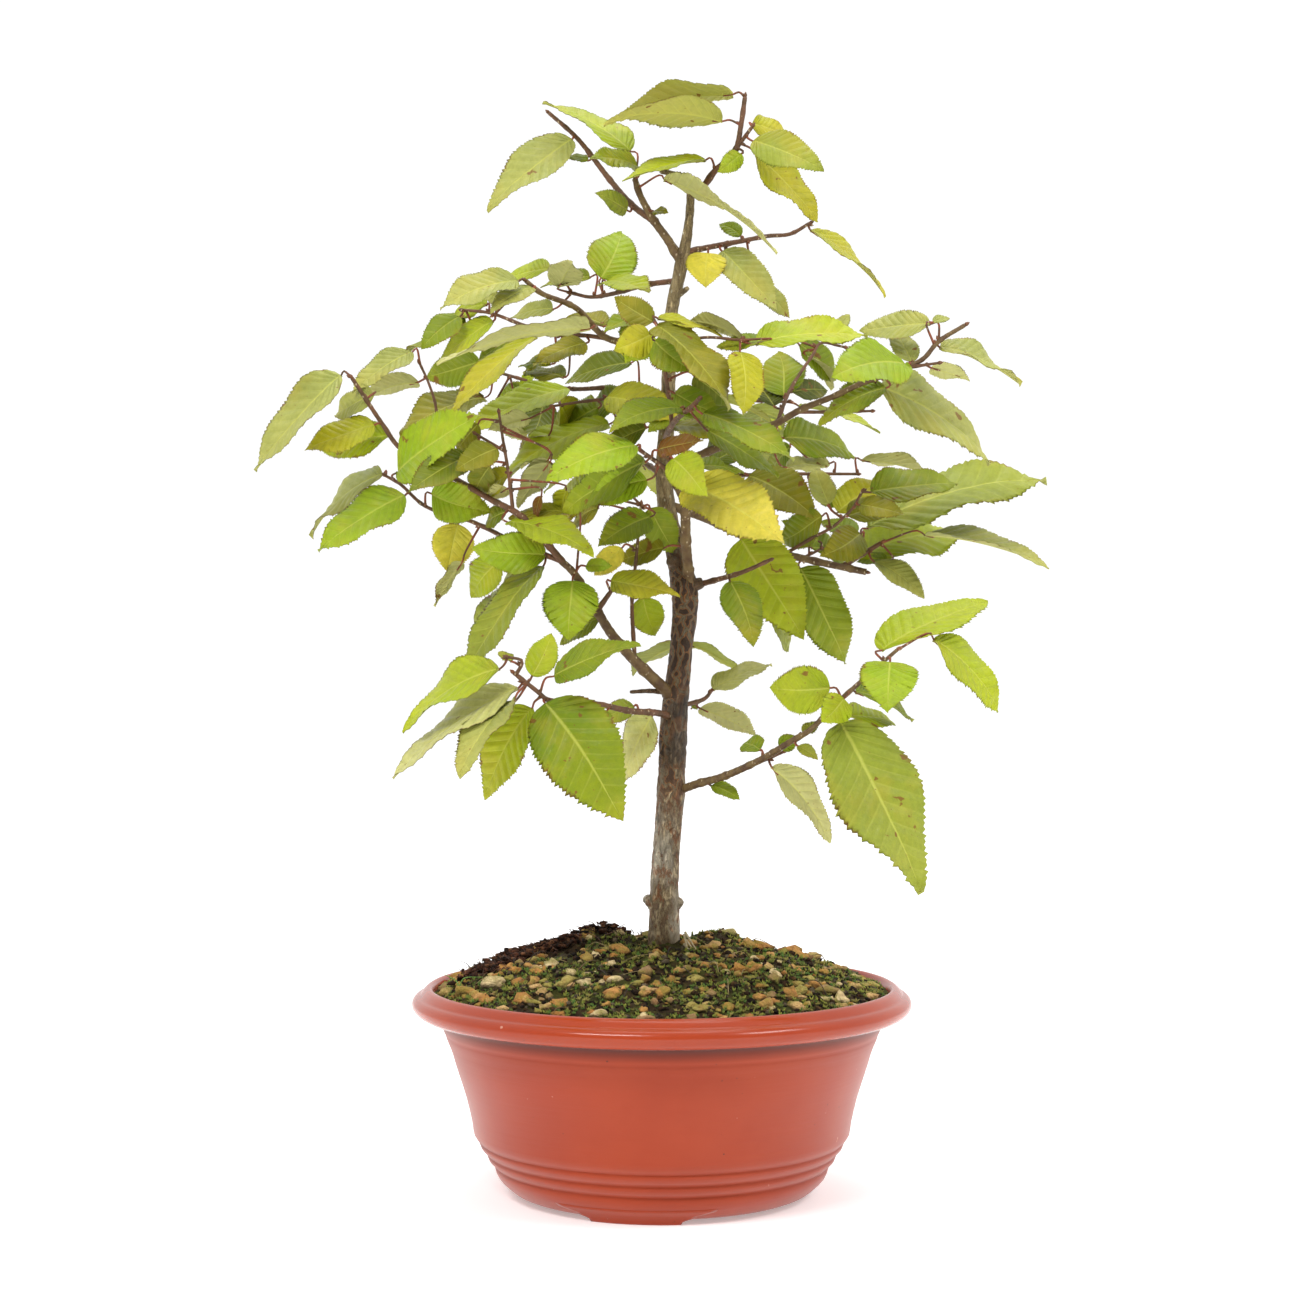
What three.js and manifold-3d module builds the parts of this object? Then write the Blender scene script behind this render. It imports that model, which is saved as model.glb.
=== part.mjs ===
// Korean hornbeam bonsai in a round plastic training pot.
// Millimetres, +Z up, origin on the floor under the middle of the pot, front towards -Y.

import * as THREE from 'three';
import { mergeGeometries, mergeVertices } from 'three/addons/utils/BufferGeometryUtils.js';
import Module from 'manifold-3d';

const wasm = await Module();
wasm.setup();

// Driving dimensions of the pot
const potRadius = 100;
const potHeight = 83;
const potWall = 2;
const potFloor = 6;
const potSides = 24;
const footHeight = 1.6;
const foot = { count: 3, firstTurn: -100, halfAngle: 22, inner: 55, outer: 60.6, top: 3.4 };
const drain = { count: 4, radius: 4, sides: 6, length: 12, fromAxis: 34, middle: 5 };

// Sections of the pot, as [radius, height]: its outer side from the middle of its base up to
// the lip, and its inner side from below the lip down to the middle of its floor
const potOutside = [
  [0, 3.4], [54, 3.4], [55, footHeight], [58.2, footHeight], [61.8, 3.8], [66.2, 8.8], [66.9, 12.2],
  [69.7, 15.3], [72.9, 19.9], [75.2, 24], [77.1, 34.4], [79.8, 44], [82.9, 53.6], [84.4, 58.4],
  [86.5, 62.6], [88.4, 66.4], [95.6, 71.8], [potRadius, 76], [97.6, 80], [94.6, 82.5], [92.4, potHeight],
];
const potInside = [
  [89.6, 78], [86.3, 66], [82.4, 58], [79.8 - potWall, 44], [75 - potWall, 23.6], [58, potFloor], [0, potFloor],
];

// Driving dimensions of the soil
const gap = 0.3;
const soilInset = 0.5;
const soilEdge = 80;
const soilRise = 18.5;
const soilRadius = 90;
const soilRings = [80, 64, 48, 32, 16];
const humps = [{ x: -27, y: 12, high: 4.5, wide: 15 }, { x: 24, y: 16, high: 4, wide: 13 }];
const grains = { count: 11, seed: 41, nearest: 16, spread: 64, turn: 2.4, smallest: 3.4, range: 1.8, lift: 0.4 };
const grainShape = { narrowest: 0.8, range: 0.2, flat: 0.75 };

// Driving dimensions of the leaves
const bladeThickness = 0.7;
const bladeRatio = 0.55;
const bladeFold = 0.16;
const bladeArch = 0.05;
const archEase = 0.8;
const widestAt = 0.36;
const baseRound = 2.2;
const tipSwell = 1.15;
const tipDraw = 0.3;
const toothStep = 18;
const fewestTeeth = 2;
const mostTeeth = 5;
const toothDepth = 0.12;
const firstTooth = 0.06;
const toothPoint = 0.78;
const toothAhead = 0.02;
const stalkHalf = 0.6;
const shortestStalk = 2.4;
const rootShare = { wide: 0.5, thick: 0.95 };
const aheadCost = 2;
const tidyStep = 0.03;
const flush = 0.01;
const sameSpot = 1e-4;
const leanAtBase = 0.2;
const turnAtBase = 0.35;
const nearestSteps = 60;
const stemStep = 20;
const stemSides = { thick: 6, thin: 4, thickFrom: 1.35 };
const trunkSteps = 20;
const trunkSides = 8;

// The view that the tree's places were read in: a camera in front of the pot at the height
// of the crown, with a frame of 1300 by 1300.
const view = { distance: 984, height: 217, focal: 2450, centre: 650, offset: -4.7 };

// A place [across, down, depth] is a place in that frame, and how far it lies behind the
// pot's axis (in front of it where negative).
function place([across, down, depth]) {
  const scale = (view.distance + depth) / view.focal;
  return new THREE.Vector3(
    (across - view.centre) * scale + view.offset,
    depth,
    view.height - (down - view.centre) * scale,
  );
}

function seenFrom(point) {
  const scale = (view.distance + point.y) / view.focal;
  return [
    (point.x - view.offset) / scale + view.centre,
    (view.height - point.z) / scale + view.centre,
  ];
}

// The trunk's centreline, with its radius at each place
const trunkLine = [
  { at: [662, 1010, 0], radius: 6.2 },
  { at: [664, 935, 0], radius: 6.5 },
  { at: [664.5, 885, 0], radius: 5.8 },
  { at: [667, 840, 1], radius: 5.5 },
  { at: [671, 790, 2], radius: 5.5 },
  { at: [674, 720, 1], radius: 5.4 },
  { at: [681, 650, -1], radius: 4.6 },
  { at: [685, 600, -3], radius: 5.2 },
  { at: [678, 556, -2], radius: 4.4 },
  { at: [668, 516, 0], radius: 3.8 },
  { at: [664, 470, 2], radius: 3.4 },
  { at: [667, 420, 3], radius: 3.2 },
  { at: [669, 370, 2], radius: 2.9 },
  { at: [672, 310, 0], radius: 2.7 },
  { at: [682, 262, -2], radius: 2.7 },
  { at: [689, 222, -2], radius: 1.9 },
  { at: [691, 184, -2], radius: 1.7 },
];

// Pruned ends, knots and bare twigs of the trunk
const trunkTwigs = [
  { path: [[691, 190, -2], [678, 176, -1], [660, 171, 0]], radius: [1.4, 1] },
  { path: [[657, 909, 0], [645.5, 897, -2]], radius: [2.6, 1.9] },
  { path: [[672, 908, 0], [681, 900, -2]], radius: [2.8, 1.9] },
  { path: [[682, 590, -3], [703, 582, -4]], radius: [3.2, 2.2] },
  { path: [[680, 566, -3], [670, 560, -9]], radius: [2.6, 2.2] },
  { path: [[675, 694, 1], [652, 691, -4], [630, 692, -6]], radius: [1.3, 0.7] },
  { path: [[674, 298, -1], [688, 288, -6]], radius: [1.5, 1] },
];

// The leafy branches. A leaf is [base across, base down, tip across, tip down, width], as
// seen in the frame, and then how it hangs: depth is how far its tip lies behind its base,
// under shows its lower face, and ratio is the width to length of a narrow one.
const branches = {
  branch_leader: {
    stems: [
      { path: [[692, 188, -2], [703, 186, -4], [714, 172, -6], [735, 151, -9], [741, 125, -10], [745, 97, -10]],
        radius: [1.4, 0.9] },
      { path: [[736, 149, -9], [752, 127, -12]], radius: [0.9, 0.7] },
    ],
    leaves: [
      [733, 94, 620, 114, 28, { under: true, depth: 16 }],
      [722, 121, 603, 119, 30, { under: true, depth: -16 }],
      [705, 160, 622, 180, 12, { depth: -12 }],
      [753, 141, 824, 169, 36, { depth: -14 }],
      [756, 155, 819, 221, 34, { depth: 8 }],
    ],
  },
  branch_top_left: {
    stems: [
      { path: [[681, 262, -2], [668, 240, 0], [655, 222, 2], [640, 195, 3], [635, 179, 4]], radius: [2, 1.2] },
      { path: [[655, 222, 2], [632, 205, 8], [610, 180, 14], [577, 138, 20], [549, 113, 22]], radius: [1.4, 0.8] },
    ],
    leaves: [
      [572, 139, 485, 208, 40, { depth: -8 }],
      [630, 151, 543, 102, 20, { depth: 16 }],
      [638, 167, 590, 158, 19, { depth: -18 }],
      [627, 210, 596, 192, 20, { depth: -14 }],
      [665, 180, 779, 251, 12, { under: true, depth: -44, ratio: 0.3 }],
    ],
  },
  branch_top_right: {
    stems: [
      { path: [[686, 252, -2], [715, 246, 4], [742, 241, 10], [768, 236, 14], [790, 234, 16], [810, 223, 18]],
        radius: [1.3, 0.7] },
    ],
    leaves: [
      [708, 253, 706, 287, 40, { depth: -10 }],
      [722, 251, 778, 309, 36, { depth: -10 }],
      [758, 290, 790, 318, 20, { depth: 6 }],
      [811, 230, 888, 294, 12, { depth: 6 }],
    ],
  },
  branch_left_thin: {
    stems: [
      { path: [[674, 281, -1], [645, 285, 10], [616, 293, 22], [590, 297, 34], [572, 293, 40]], radius: [1.2, 0.7] },
    ],
    leaves: [
      [601, 278, 622, 231, 50, { depth: 24 }],
      [607, 282, 649, 292, 20, { depth: -34 }],
      [559, 287, 573, 262, 34, { under: true, depth: -30 }],
      [549, 269, 503, 280, 16, { depth: 20 }],
    ],
  },
  branch_left_upper: {
    stems: [
      { path: [[668, 352, 2], [640, 345, -10], [605, 337, -24], [576, 308, -36], [541, 293, -46], [526, 281, -50]],
        radius: [1.6, 0.9] },
      { path: [[640, 345, -10], [590, 336, -8], [557, 334, -4], [526, 326, 2], [490, 313, 8], [463, 310, 12]],
        radius: [1, 0.6] },
      { path: [[640, 345, -10], [641, 332, -16], [644, 320, -20]], radius: [0.9, 0.6] },
    ],
    leaves: [
      [524, 279, 440, 308, 28, { depth: -10 }],
      [590, 328, 436, 362, 16, { under: true, depth: -20 }],
      [541, 333, 448, 412, 20, { depth: -6 }],
      [493, 321, 438, 360, 22, { depth: 8 }],
      [464, 313, 421, 348, 26, { depth: -8 }],
      [466, 326, 405, 352, 20, { depth: 32 }],
      [516, 340, 478, 362, 20, { depth: 18 }],
      [586, 343, 533, 364, 22, { depth: -10 }],
      [642, 330, 627, 362, 42, { depth: -16 }],
    ],
  },
  branch_left_middle: {
    stems: [
      { path: [[667, 402, 3], [645, 394, 16], [610, 388, 32], [574, 389, 44], [545, 385, 54], [493, 371, 64]],
        radius: [1.3, 0.6] },
      { path: [[645, 394, 16], [612, 398, 12], [580, 402, 8], [554, 406, 6]], radius: [0.9, 0.5] },
    ],
    leaves: [
      [545, 396, 530, 438, 38, { depth: 30 }],
      [622, 402, 578, 418, 30, { depth: 34 }],
      [607, 397, 680, 419, 38, { depth: -22 }],
      [569, 389, 467, 431, 28, { depth: -14 }],
      [480, 362, 425, 377, 34, { depth: 14 }],
      [484, 398, 399, 433, 30, { depth: -26 }],
      [530, 418, 488, 430, 18, { under: true, depth: 8 }],
      [609, 424, 498, 477, 30, { depth: -8 }],
      [631, 363, 564, 382, 24, { depth: 18 }],
      [598, 408, 545, 440, 32, { depth: 36 }],
    ],
  },
  branch_left_long: {
    stems: [
      { path: [[676, 700, 1], [655, 680, -6], [636, 662, -10], [613, 636, -14], [597, 611, -16], [573, 572, -20],
        [561, 561, -22]], radius: [2.6, 1.4] },
      { path: [[563, 562, -22], [522, 517, -24], [490, 499, -14], [440, 470, 0], [400, 448, 2], [383, 425, -2],
        [352, 378, -12]], radius: [1.4, 0.8] },
      { path: [[561, 561, -22], [520, 545, -14], [473, 522, -6], [425, 506, 2], [400, 484, 6], [386, 476, 8]],
        radius: [1.1, 0.6] },
      { path: [[513, 511, -21], [509, 476, -20], [503, 440, -18], [499, 413, -16]], radius: [0.8, 0.5] },
      { path: [[506, 452, -19], [476, 434, -14]], radius: [0.7, 0.5] },
      { path: [[424, 461, 1], [434, 440, 8], [436, 408, 14], [429, 384, 14], [420, 364, 12]], radius: [0.7, 0.5] },
      { path: [[597, 611, -16], [614, 587, -20]], radius: [1.3, 0.8] },
      { path: [[635, 662, -10], [632, 600, -9], [636, 560, -12], [641, 505, -14]], radius: [0.9, 0.5] },
    ],
    leaves: [
      [468, 456, 408, 492, 34, { depth: -14 }],
      [502, 446, 455, 470, 28, { depth: -10 }],
      [341, 375, 254, 470, 35, { depth: 4 }],
      [380, 423, 304, 448, 30, { depth: -8 }],
      [389, 436, 318, 448, 32, { depth: 14 }],
      [373, 394, 334, 415, 24, { depth: 20 }],
      [398, 472, 478, 414, 46, { depth: -34 }],
      [432, 494, 492, 512, 42, { depth: -12 }],
      [410, 492, 317, 549, 40, { depth: -8 }],
      [383, 474, 307, 533, 20, { depth: 24 }],
      [418, 382, 365, 398, 22, { under: true, depth: 14 }],
      [412, 352, 352, 392, 24, { depth: -12 }],
      [458, 524, 447, 572, 42, { depth: 6 }],
      [462, 562, 434, 606, 14, { under: true, depth: 6 }],
      [500, 560, 472, 598, 34, { depth: 22 }],
      [552, 556, 472, 548, 40, { depth: 2 }],
      [508, 522, 594, 554, 28, { depth: -22 }],
      [611, 581, 680, 594, 30, { depth: -10 }],
      [643, 597, 656, 636, 34, { depth: 14 }],
      [573, 575, 568, 640, 56, { depth: -10 }],
      [543, 566, 465, 672, 28, { depth: -6 }],
      [532, 574, 470, 634, 24, { depth: 34 }],
      [580, 498, 550, 526, 24, { depth: 10 }],
      [650, 517, 598, 546, 34, { depth: -16 }],
      [650, 508, 676, 554, 34, { depth: 8 }],
      [549, 463, 516, 506, 24, { under: true, depth: 6 }],
      [600, 470, 560, 502, 30, { depth: 44 }],
    ],
  },
  branch_lower_left: {
    stems: [
      { path: [[673, 718, 1], [658, 713, -10], [630, 711, -26], [602, 705, -40], [570, 700, -54], [548, 700, -62],
        [538, 692, -66], [514, 673, -70]], radius: [1.4, 0.8] },
      { path: [[516, 675, -70], [522, 661, -72], [508, 657, -73]], radius: [0.8, 0.5] },
    ],
    leaves: [
      [499, 669, 400, 729, 33, { depth: 14 }],
      [518, 688, 391, 776, 27, { depth: 4 }],
      [514, 700, 457, 774, 25, { depth: -30 }],
      [532, 708, 484, 800, 44, { depth: 12 }],
      [545, 703, 622, 821, 85, { depth: -14 }],
      [532, 676, 552, 633, 30, { depth: 12 }],
      [554, 676, 639, 642, 33, { depth: -16 }],
      [652, 716, 622, 781, 36, { depth: 20 }],
    ],
  },
  branch_low_right: {
    stems: [
      { path: [[680, 790, 2], [700, 783, -8], [722, 777, -18], [760, 760, -36], [790, 742, -50], [810, 730, -58],
        [835, 705, -66], [858, 684, -70], [897, 650, -72]], radius: [1.7, 0.7] },
      { path: [[742, 770, -30], [783, 752, -38]], radius: [0.8, 0.6] },
    ],
    leaves: [
      [882, 650, 988, 600, 35, { depth: 34 }],
      [934, 640, 1002, 711, 30, { depth: 14 }],
      [890, 662, 888, 711, 58, { depth: -18 }],
      [830, 688, 769, 688, 48, { depth: 12 }],
      [848, 694, 822, 722, 33, { depth: -6 }],
      [840, 722, 924, 892, 86, { depth: -18 }],
      [772, 767, 832, 842, 28, { under: true, depth: -14 }],
    ],
  },
  branch_middle_right: {
    stems: [
      { path: [[672, 506, 1], [705, 518, 8], [735, 532, 14], [775, 551, 20], [810, 560, 24], [866, 572, 26]],
        radius: [1.9, 1.4] },
      { path: [[785, 554, 21], [812, 538, 12], [834, 526, 4], [853, 508, -2]], radius: [0.8, 0.5] },
      { path: [[803, 558, 24], [821, 549, 30]], radius: [0.7, 0.5] },
      { path: [[843, 566, 26], [881, 543, 27]], radius: [1.2, 0.9] },
      { path: [[850, 562, 26], [862, 543, 24]], radius: [0.7, 0.6] },
      { path: [[853, 508, -2], [862, 492, -6]], radius: [0.5, 0.5] },
    ],
    leaves: [
      [829, 504, 814, 465, 25, { depth: 10 }],
      [871, 492, 958, 482, 34, { depth: 12 }],
      [868, 528, 1046, 475, 44, { depth: 6 }],
      [860, 556, 966, 532, 44, { depth: 38 }],
      [925, 535, 1050, 565, 12, { depth: -16 }],
      [875, 562, 925, 597, 22, { depth: -8 }],
      [860, 534, 821, 556, 36, { depth: -24 }],
      [860, 505, 904, 514, 22, { depth: -12 }],
      [741, 539, 804, 638, 68, { depth: -14 }],
      [800, 568, 848, 664, 52, { depth: 10 }],
    ],
  },
  branch_upper_right: {
    stems: [
      { path: [[665, 474, 2], [700, 455, -10], [740, 440, -20], [777, 423, -28], [802, 409, -33], [832, 397, -38],
        [863, 383, -42], [897, 371, -45], [923, 359, -48], [938, 342, -49], [965, 325, -50]], radius: [1.7, 0.8] },
      { path: [[904, 368, -46], [938, 363, -52]], radius: [0.8, 0.5] },
      { path: [[795, 412, -32], [838, 412, -26], [871, 411, -20]], radius: [0.8, 0.5] },
      { path: [[777, 423, -28], [790, 390, -18], [812, 356, -8], [821, 343, -4], [844, 347, -2]], radius: [0.8, 0.5] },
    ],
    leaves: [
      [886, 388, 818, 424, 28, { depth: 8 }],
      [930, 324, 859, 330, 26, { depth: 12 }],
      [905, 364, 832, 376, 46, { depth: -32 }],
      [912, 362, 893, 327, 24, { depth: 14 }],
      [940, 347, 1022, 383, 16, { depth: 14 }],
      [926, 366, 970, 380, 18, { under: true, depth: 10 }],
      [880, 387, 994, 460, 45, { depth: 26 }],
      [784, 396, 778, 351, 44, { depth: 26 }],
      [774, 406, 750, 376, 28, { depth: 28 }],
      [784, 438, 857, 455, 34, { depth: 28 }],
    ],
  },
  branch_level_right: {
    stems: [
      { path: [[666, 486, 1], [700, 480, 20], [730, 476, 32], [791, 474, 44], [857, 474, 52]], radius: [1.1, 0.6] },
    ],
    leaves: [
      [838, 512, 881, 478, 34, { depth: 24 }],
      [749, 476, 817, 517, 44, { depth: -26 }],
      [862, 460, 934, 476, 16, { under: true, depth: 16 }],
      [810, 480, 842, 506, 24, { depth: 14 }],
    ],
  },
  branch_front: {
    stems: [
      { path: [[666, 440, 2], [668, 432, -16], [676, 420, -34], [690, 408, -50], [700, 398, -62]], radius: [1.4, 0.8] },
      { path: [[672, 424, -28], [668, 390, -36], [662, 352, -42], [660, 330, -46]], radius: [0.9, 0.6] },
      { path: [[662, 352, -42], [700, 338, -46], [740, 340, -52]], radius: [0.7, 0.5] },
    ],
    leaves: [
      [703, 414, 795, 457, 28, { depth: -14 }],
      [708, 431, 779, 477, 30, { depth: 10 }],
      [680, 408, 609, 429, 26, { depth: -18 }],
      [670, 391, 722, 416, 32, { depth: -10 }],
      [694, 376, 728, 406, 28, { depth: 12 }],
      [655, 341, 692, 371, 38, { depth: -8 }],
      [657, 326, 732, 406, 34, { depth: -24 }],
      [740, 352, 743, 415, 36, { depth: -14 }],
      [756, 344, 868, 334, 26, { depth: 6 }],
    ],
  },
  stem_front: {
    stems: [
      { path: [[690, 588, -3], [686, 545, -16], [684, 500, -32], [677, 484, -38]], radius: [2.2, 1.9] },
      { path: [[680, 490, -36], [674, 476, -44], [640, 450, -54]], radius: [1.3, 0.7] },
      { path: [[679, 482, -42], [670, 462, -60], [664, 456, -70]], radius: [0.7, 0.5] },
    ],
    leaves: [
      [645, 462, 561, 511, 40, { depth: 20 }],
      [636, 446, 546, 479, 40, { depth: -16 }],
      [687, 486, 783, 541, 58, { depth: -34 }],
      [673, 459, 706, 496, 40, { depth: -16 }],
      [658, 450, 703, 440, 20, { depth: -14 }],
      [647, 480, 586, 505, 34, { depth: 8 }],
    ],
  },
  twig_small_right: {
    stems: [
      { path: [[676, 707, 2], [704, 699, 13], [712, 690, 20]], radius: [1.1, 0.7] },
    ],
    leaves: [
      [708, 692, 771, 662, 20, { depth: 10 }],
      [700, 708, 757, 735, 22, { under: true, depth: 12 }],
    ],
  },
  twig_knot: {
    stems: [
      { path: [[690, 587, 2], [712, 581, -8], [743, 572, -24], [770, 560, -32]], radius: [1.3, 0.7] },
    ],
    leaves: [
      [728, 576, 755, 646, 38, { depth: -8 }],
    ],
  },
};

// Branches that the crown hides. Their leaves stand in two ranks along the stem, as a
// hornbeam's do, and each takes its length from a seeded draw.
const hiddenBranches = {
  branch_back_left: { seed: 7, path: [[664, 476, 2], [640, 460, 32], [600, 436, 54], [570, 412, 62]], leaves: 5 },
  branch_back_right: { seed: 19, path: [[668, 395, 3], [700, 392, 34], [745, 400, 60], [790, 402, 72]], leaves: 5 },
  branch_back_low: { seed: 23, path: [[682, 640, 0], [676, 636, 22], [690, 640, 46]], leaves: 2 },
};
const hiddenLength = [30, 40];
const hiddenRadius = [1.4, 0.6];
const hiddenStalk = 6;
const hiddenRanks = { first: 0.42, span: 0.56 };
const hiddenWay = { ahead: 0.5, aheadRange: 0.3, beside: 0.8, droop: 0.35, droopRange: 0.3 };

// Colours and finishes
const finishes = {
  pot: new THREE.MeshStandardMaterial({ color: 0xb5502f, roughness: 0.35 }),
  soil: new THREE.MeshStandardMaterial({ color: 0x3b3226, roughness: 1 }),
  bark: new THREE.MeshStandardMaterial({ color: 0x7d6b52, roughness: 0.9 }),
  leaf: new THREE.MeshStandardMaterial({ color: 0x9cb43a, roughness: 0.55, side: THREE.DoubleSide }),
};

function seededDraw(seed) {
  let state = seed;
  return () => {
    state = (state * 16807) % 2147483647;
    return state / 2147483647;
  };
}

// Closed geometry to a solid, and back
function toSolid(geometry) {
  const bare = geometry.clone();
  bare.deleteAttribute('normal');
  bare.deleteAttribute('uv');
  const merged = mergeVertices(bare, sameSpot);
  const faces = [];
  for (let i = 0; i < merged.index.count; i += 3) {
    const [a, b, c] = [merged.index.getX(i), merged.index.getX(i + 1), merged.index.getX(i + 2)];
    if (a !== b && b !== c && c !== a) faces.push(a, b, c);
  }
  return new wasm.Manifold(new wasm.Mesh({
    numProp: 3,
    vertProperties: new Float32Array(merged.attributes.position.array),
    triVerts: new Uint32Array(faces),
  }));
}

// The largest piece of a solid as a named mesh: clearances and joins can leave crumbs
function toMesh(name, solid, finish) {
  const pieces = solid.simplify(tidyStep).decompose().sort((a, b) => b.volume() - a.volume());
  const mesh = pieces[0].getMesh();
  const geometry = new THREE.BufferGeometry();
  geometry.setAttribute('position', new THREE.BufferAttribute(mesh.vertProperties, 3));
  geometry.setIndex(new THREE.BufferAttribute(mesh.triVerts, 1));
  geometry.computeVertexNormals();
  const result = new THREE.Mesh(geometry, finish);
  result.name = name;
  return result;
}

// A round stick of changing radius along a curve
function stick(curve, radiusAt, sides, steps) {
  const geometry = new THREE.CylinderGeometry(1, 1, 1, sides, steps, false);
  const frames = curve.computeFrenetFrames(steps, false);
  const position = geometry.attributes.position;
  for (let i = 0; i < position.count; i += 1) {
    const along = position.getY(i) + 0.5;
    const ring = Math.round(along * steps);
    const radius = radiusAt(along);
    const point = curve.getPointAt(along)
      .addScaledVector(frames.normals[ring], position.getX(i) * radius)
      .addScaledVector(frames.binormals[ring], -position.getZ(i) * radius);
    position.setXYZ(i, point.x, point.y, point.z);
  }
  return toSolid(geometry);
}

function stemSolid({ path, radius }) {
  const curve = new THREE.CatmullRomCurve3(path.map(place));
  const steps = Math.max(path.length - 1, Math.round(curve.getLength() / stemStep));
  const sides = radius[0] > stemSides.thickFrom ? stemSides.thick : stemSides.thin;
  return stick(curve, (along) => THREE.MathUtils.lerp(radius[0], radius[1], along), sides, steps);
}

// Half width of a leaf at a share of its length: round at the base, drawn out at the tip
function halfWidth(share) {
  if (share < widestAt) return Math.sqrt(1 - ((widestAt - share) / widestAt) ** baseRound);
  const beyond = (share - widestAt) / (1 - widestAt);
  return (1 - beyond) * (1 + tipSwell * beyond - tipDraw * beyond * beyond);
}

// One half of a flat leaf, from its rib out to its saw-toothed edge, and half of its stalk
function halfBlade({ length, width, stalk, side }) {
  const teeth = THREE.MathUtils.clamp(Math.round(length / toothStep), fewestTeeth, mostTeeth);
  const edge = [[0, 0], [side * stalkHalf, 0]];
  for (let tooth = 0; tooth < teeth; tooth += 1) {
    const root = firstTooth + ((1 - firstTooth) * tooth) / teeth;
    const point = firstTooth + ((1 - firstTooth) * (tooth + toothPoint)) / teeth;
    const notch = (halfWidth(root) * (1 - toothDepth) * width) / 2;
    const reach = (halfWidth(point) * (1 + toothDepth) * width) / 2;
    edge.push([side * notch, root * length], [side * reach, (point + toothAhead) * length]);
  }
  edge.push([0, length]);
  const ribPoints = teeth > fewestTeeth ? 2 : 1;
  for (let rib = ribPoints; rib > 0; rib -= 1) edge.push([0, (rib * length) / (ribPoints + 1)]);
  const stem = [[0, -stalk], [side * stalkHalf, -stalk], [side * stalkHalf, 0], [0, 0]];
  return [edge, stem].map((outline) => {
    const shape = new THREE.Shape(outline.map(([x, y]) => new THREE.Vector2(x, y)));
    const half = new THREE.ExtrudeGeometry(shape, { depth: bladeThickness, bevelEnabled: false });
    return half.translate(0, 0, -bladeThickness / 2);
  });
}

// Leaves out the walls inside the leaf: where its halves meet, and where the stalk meets the blade
function withoutInnerWalls(geometry) {
  const position = geometry.attributes.position;
  const kept = [];
  for (let i = 0; i < position.count; i += 3) {
    const corners = [i, i + 1, i + 2];
    const inner = [position.getX(i), position.getY(i)].some((at, axis) => Math.abs(at) < sameSpot
      && corners.every((corner) => Math.abs(position.getComponent(corner, axis)) < sameSpot));
    if (inner) continue;
    for (const corner of corners) kept.push(position.getX(corner), position.getY(corner), position.getZ(corner));
  }
  const open = new THREE.BufferGeometry();
  open.setAttribute('position', new THREE.Float32BufferAttribute(kept, 3));
  return open;
}

// A leaf from its root in the wood, along its stalk and from the blade's base to its tip. It
// arches towards its upper face and is folded a little at its rib.
function leafSolid({ root, base, tip, upper, width }) {
  const length = base.distanceTo(tip);
  const along = tip.clone().sub(base).normalize();
  const across = along.clone().cross(upper).normalize();
  const stalk = root.distanceTo(base);
  const turned = new THREE.Quaternion().setFromUnitVectors(along, base.clone().sub(root).normalize());
  const half = new THREE.Quaternion().slerp(turned, turnAtBase);
  const turns = { root: turned, base: half };
  const halves = [1, -1].flatMap((side) => halfBlade({ length, width, stalk, side }));
  const blade = withoutInnerWalls(mergeGeometries(halves));
  const position = blade.attributes.position;
  for (let i = 0; i < position.count; i += 1) {
    const [x, y, z] = [position.getX(i), position.getY(i), position.getZ(i)];
    const [outward, upward] = [across.clone(), upper.clone()];
    const point = base.clone();
    let rise = z;
    let beside = x;
    if (y > flush) {
      point.addScaledVector(along, y);
      rise += bladeArch * length * Math.sin(Math.PI * (y / length) ** archEase) + bladeFold * Math.abs(x);
    } else {
      const turn = y < -flush ? turns.root : turns.base;
      outward.applyQuaternion(turn);
      upward.applyQuaternion(turn);
      if (y < -flush) {
        point.copy(root);
        beside = x * rootShare.wide;
        rise = Math.abs(x) > flush ? 0 : z * rootShare.thick;
      }
    }
    point.addScaledVector(outward, beside).addScaledVector(upward, rise);
    position.setXYZ(i, point.x, point.y, point.z);
  }
  return toSolid(blade);
}

// The place on the branch's wood that lies nearest to a leaf's base, as seen in the frame.
// Wood that lies ahead, under the blade, counts as further away.
function nearestWood(stems, [baseAcross, baseDown, tipAcross, tipDown]) {
  const seenLength = Math.hypot(tipAcross - baseAcross, tipDown - baseDown);
  let best = { far: Infinity };
  for (const { path } of stems) {
    for (const point of new THREE.CatmullRomCurve3(path.map(place)).getSpacedPoints(nearestSteps)) {
      const [across, down] = seenFrom(point);
      const [right, below] = [across - baseAcross, down - baseDown];
      const ahead = (right * (tipAcross - baseAcross) + below * (tipDown - baseDown)) / seenLength;
      const far = Math.hypot(right, below) + aheadCost * Math.max(0, ahead + stalkHalf);
      if (far < best.far) best = { far, point };
    }
  }
  return best.point;
}

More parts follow.
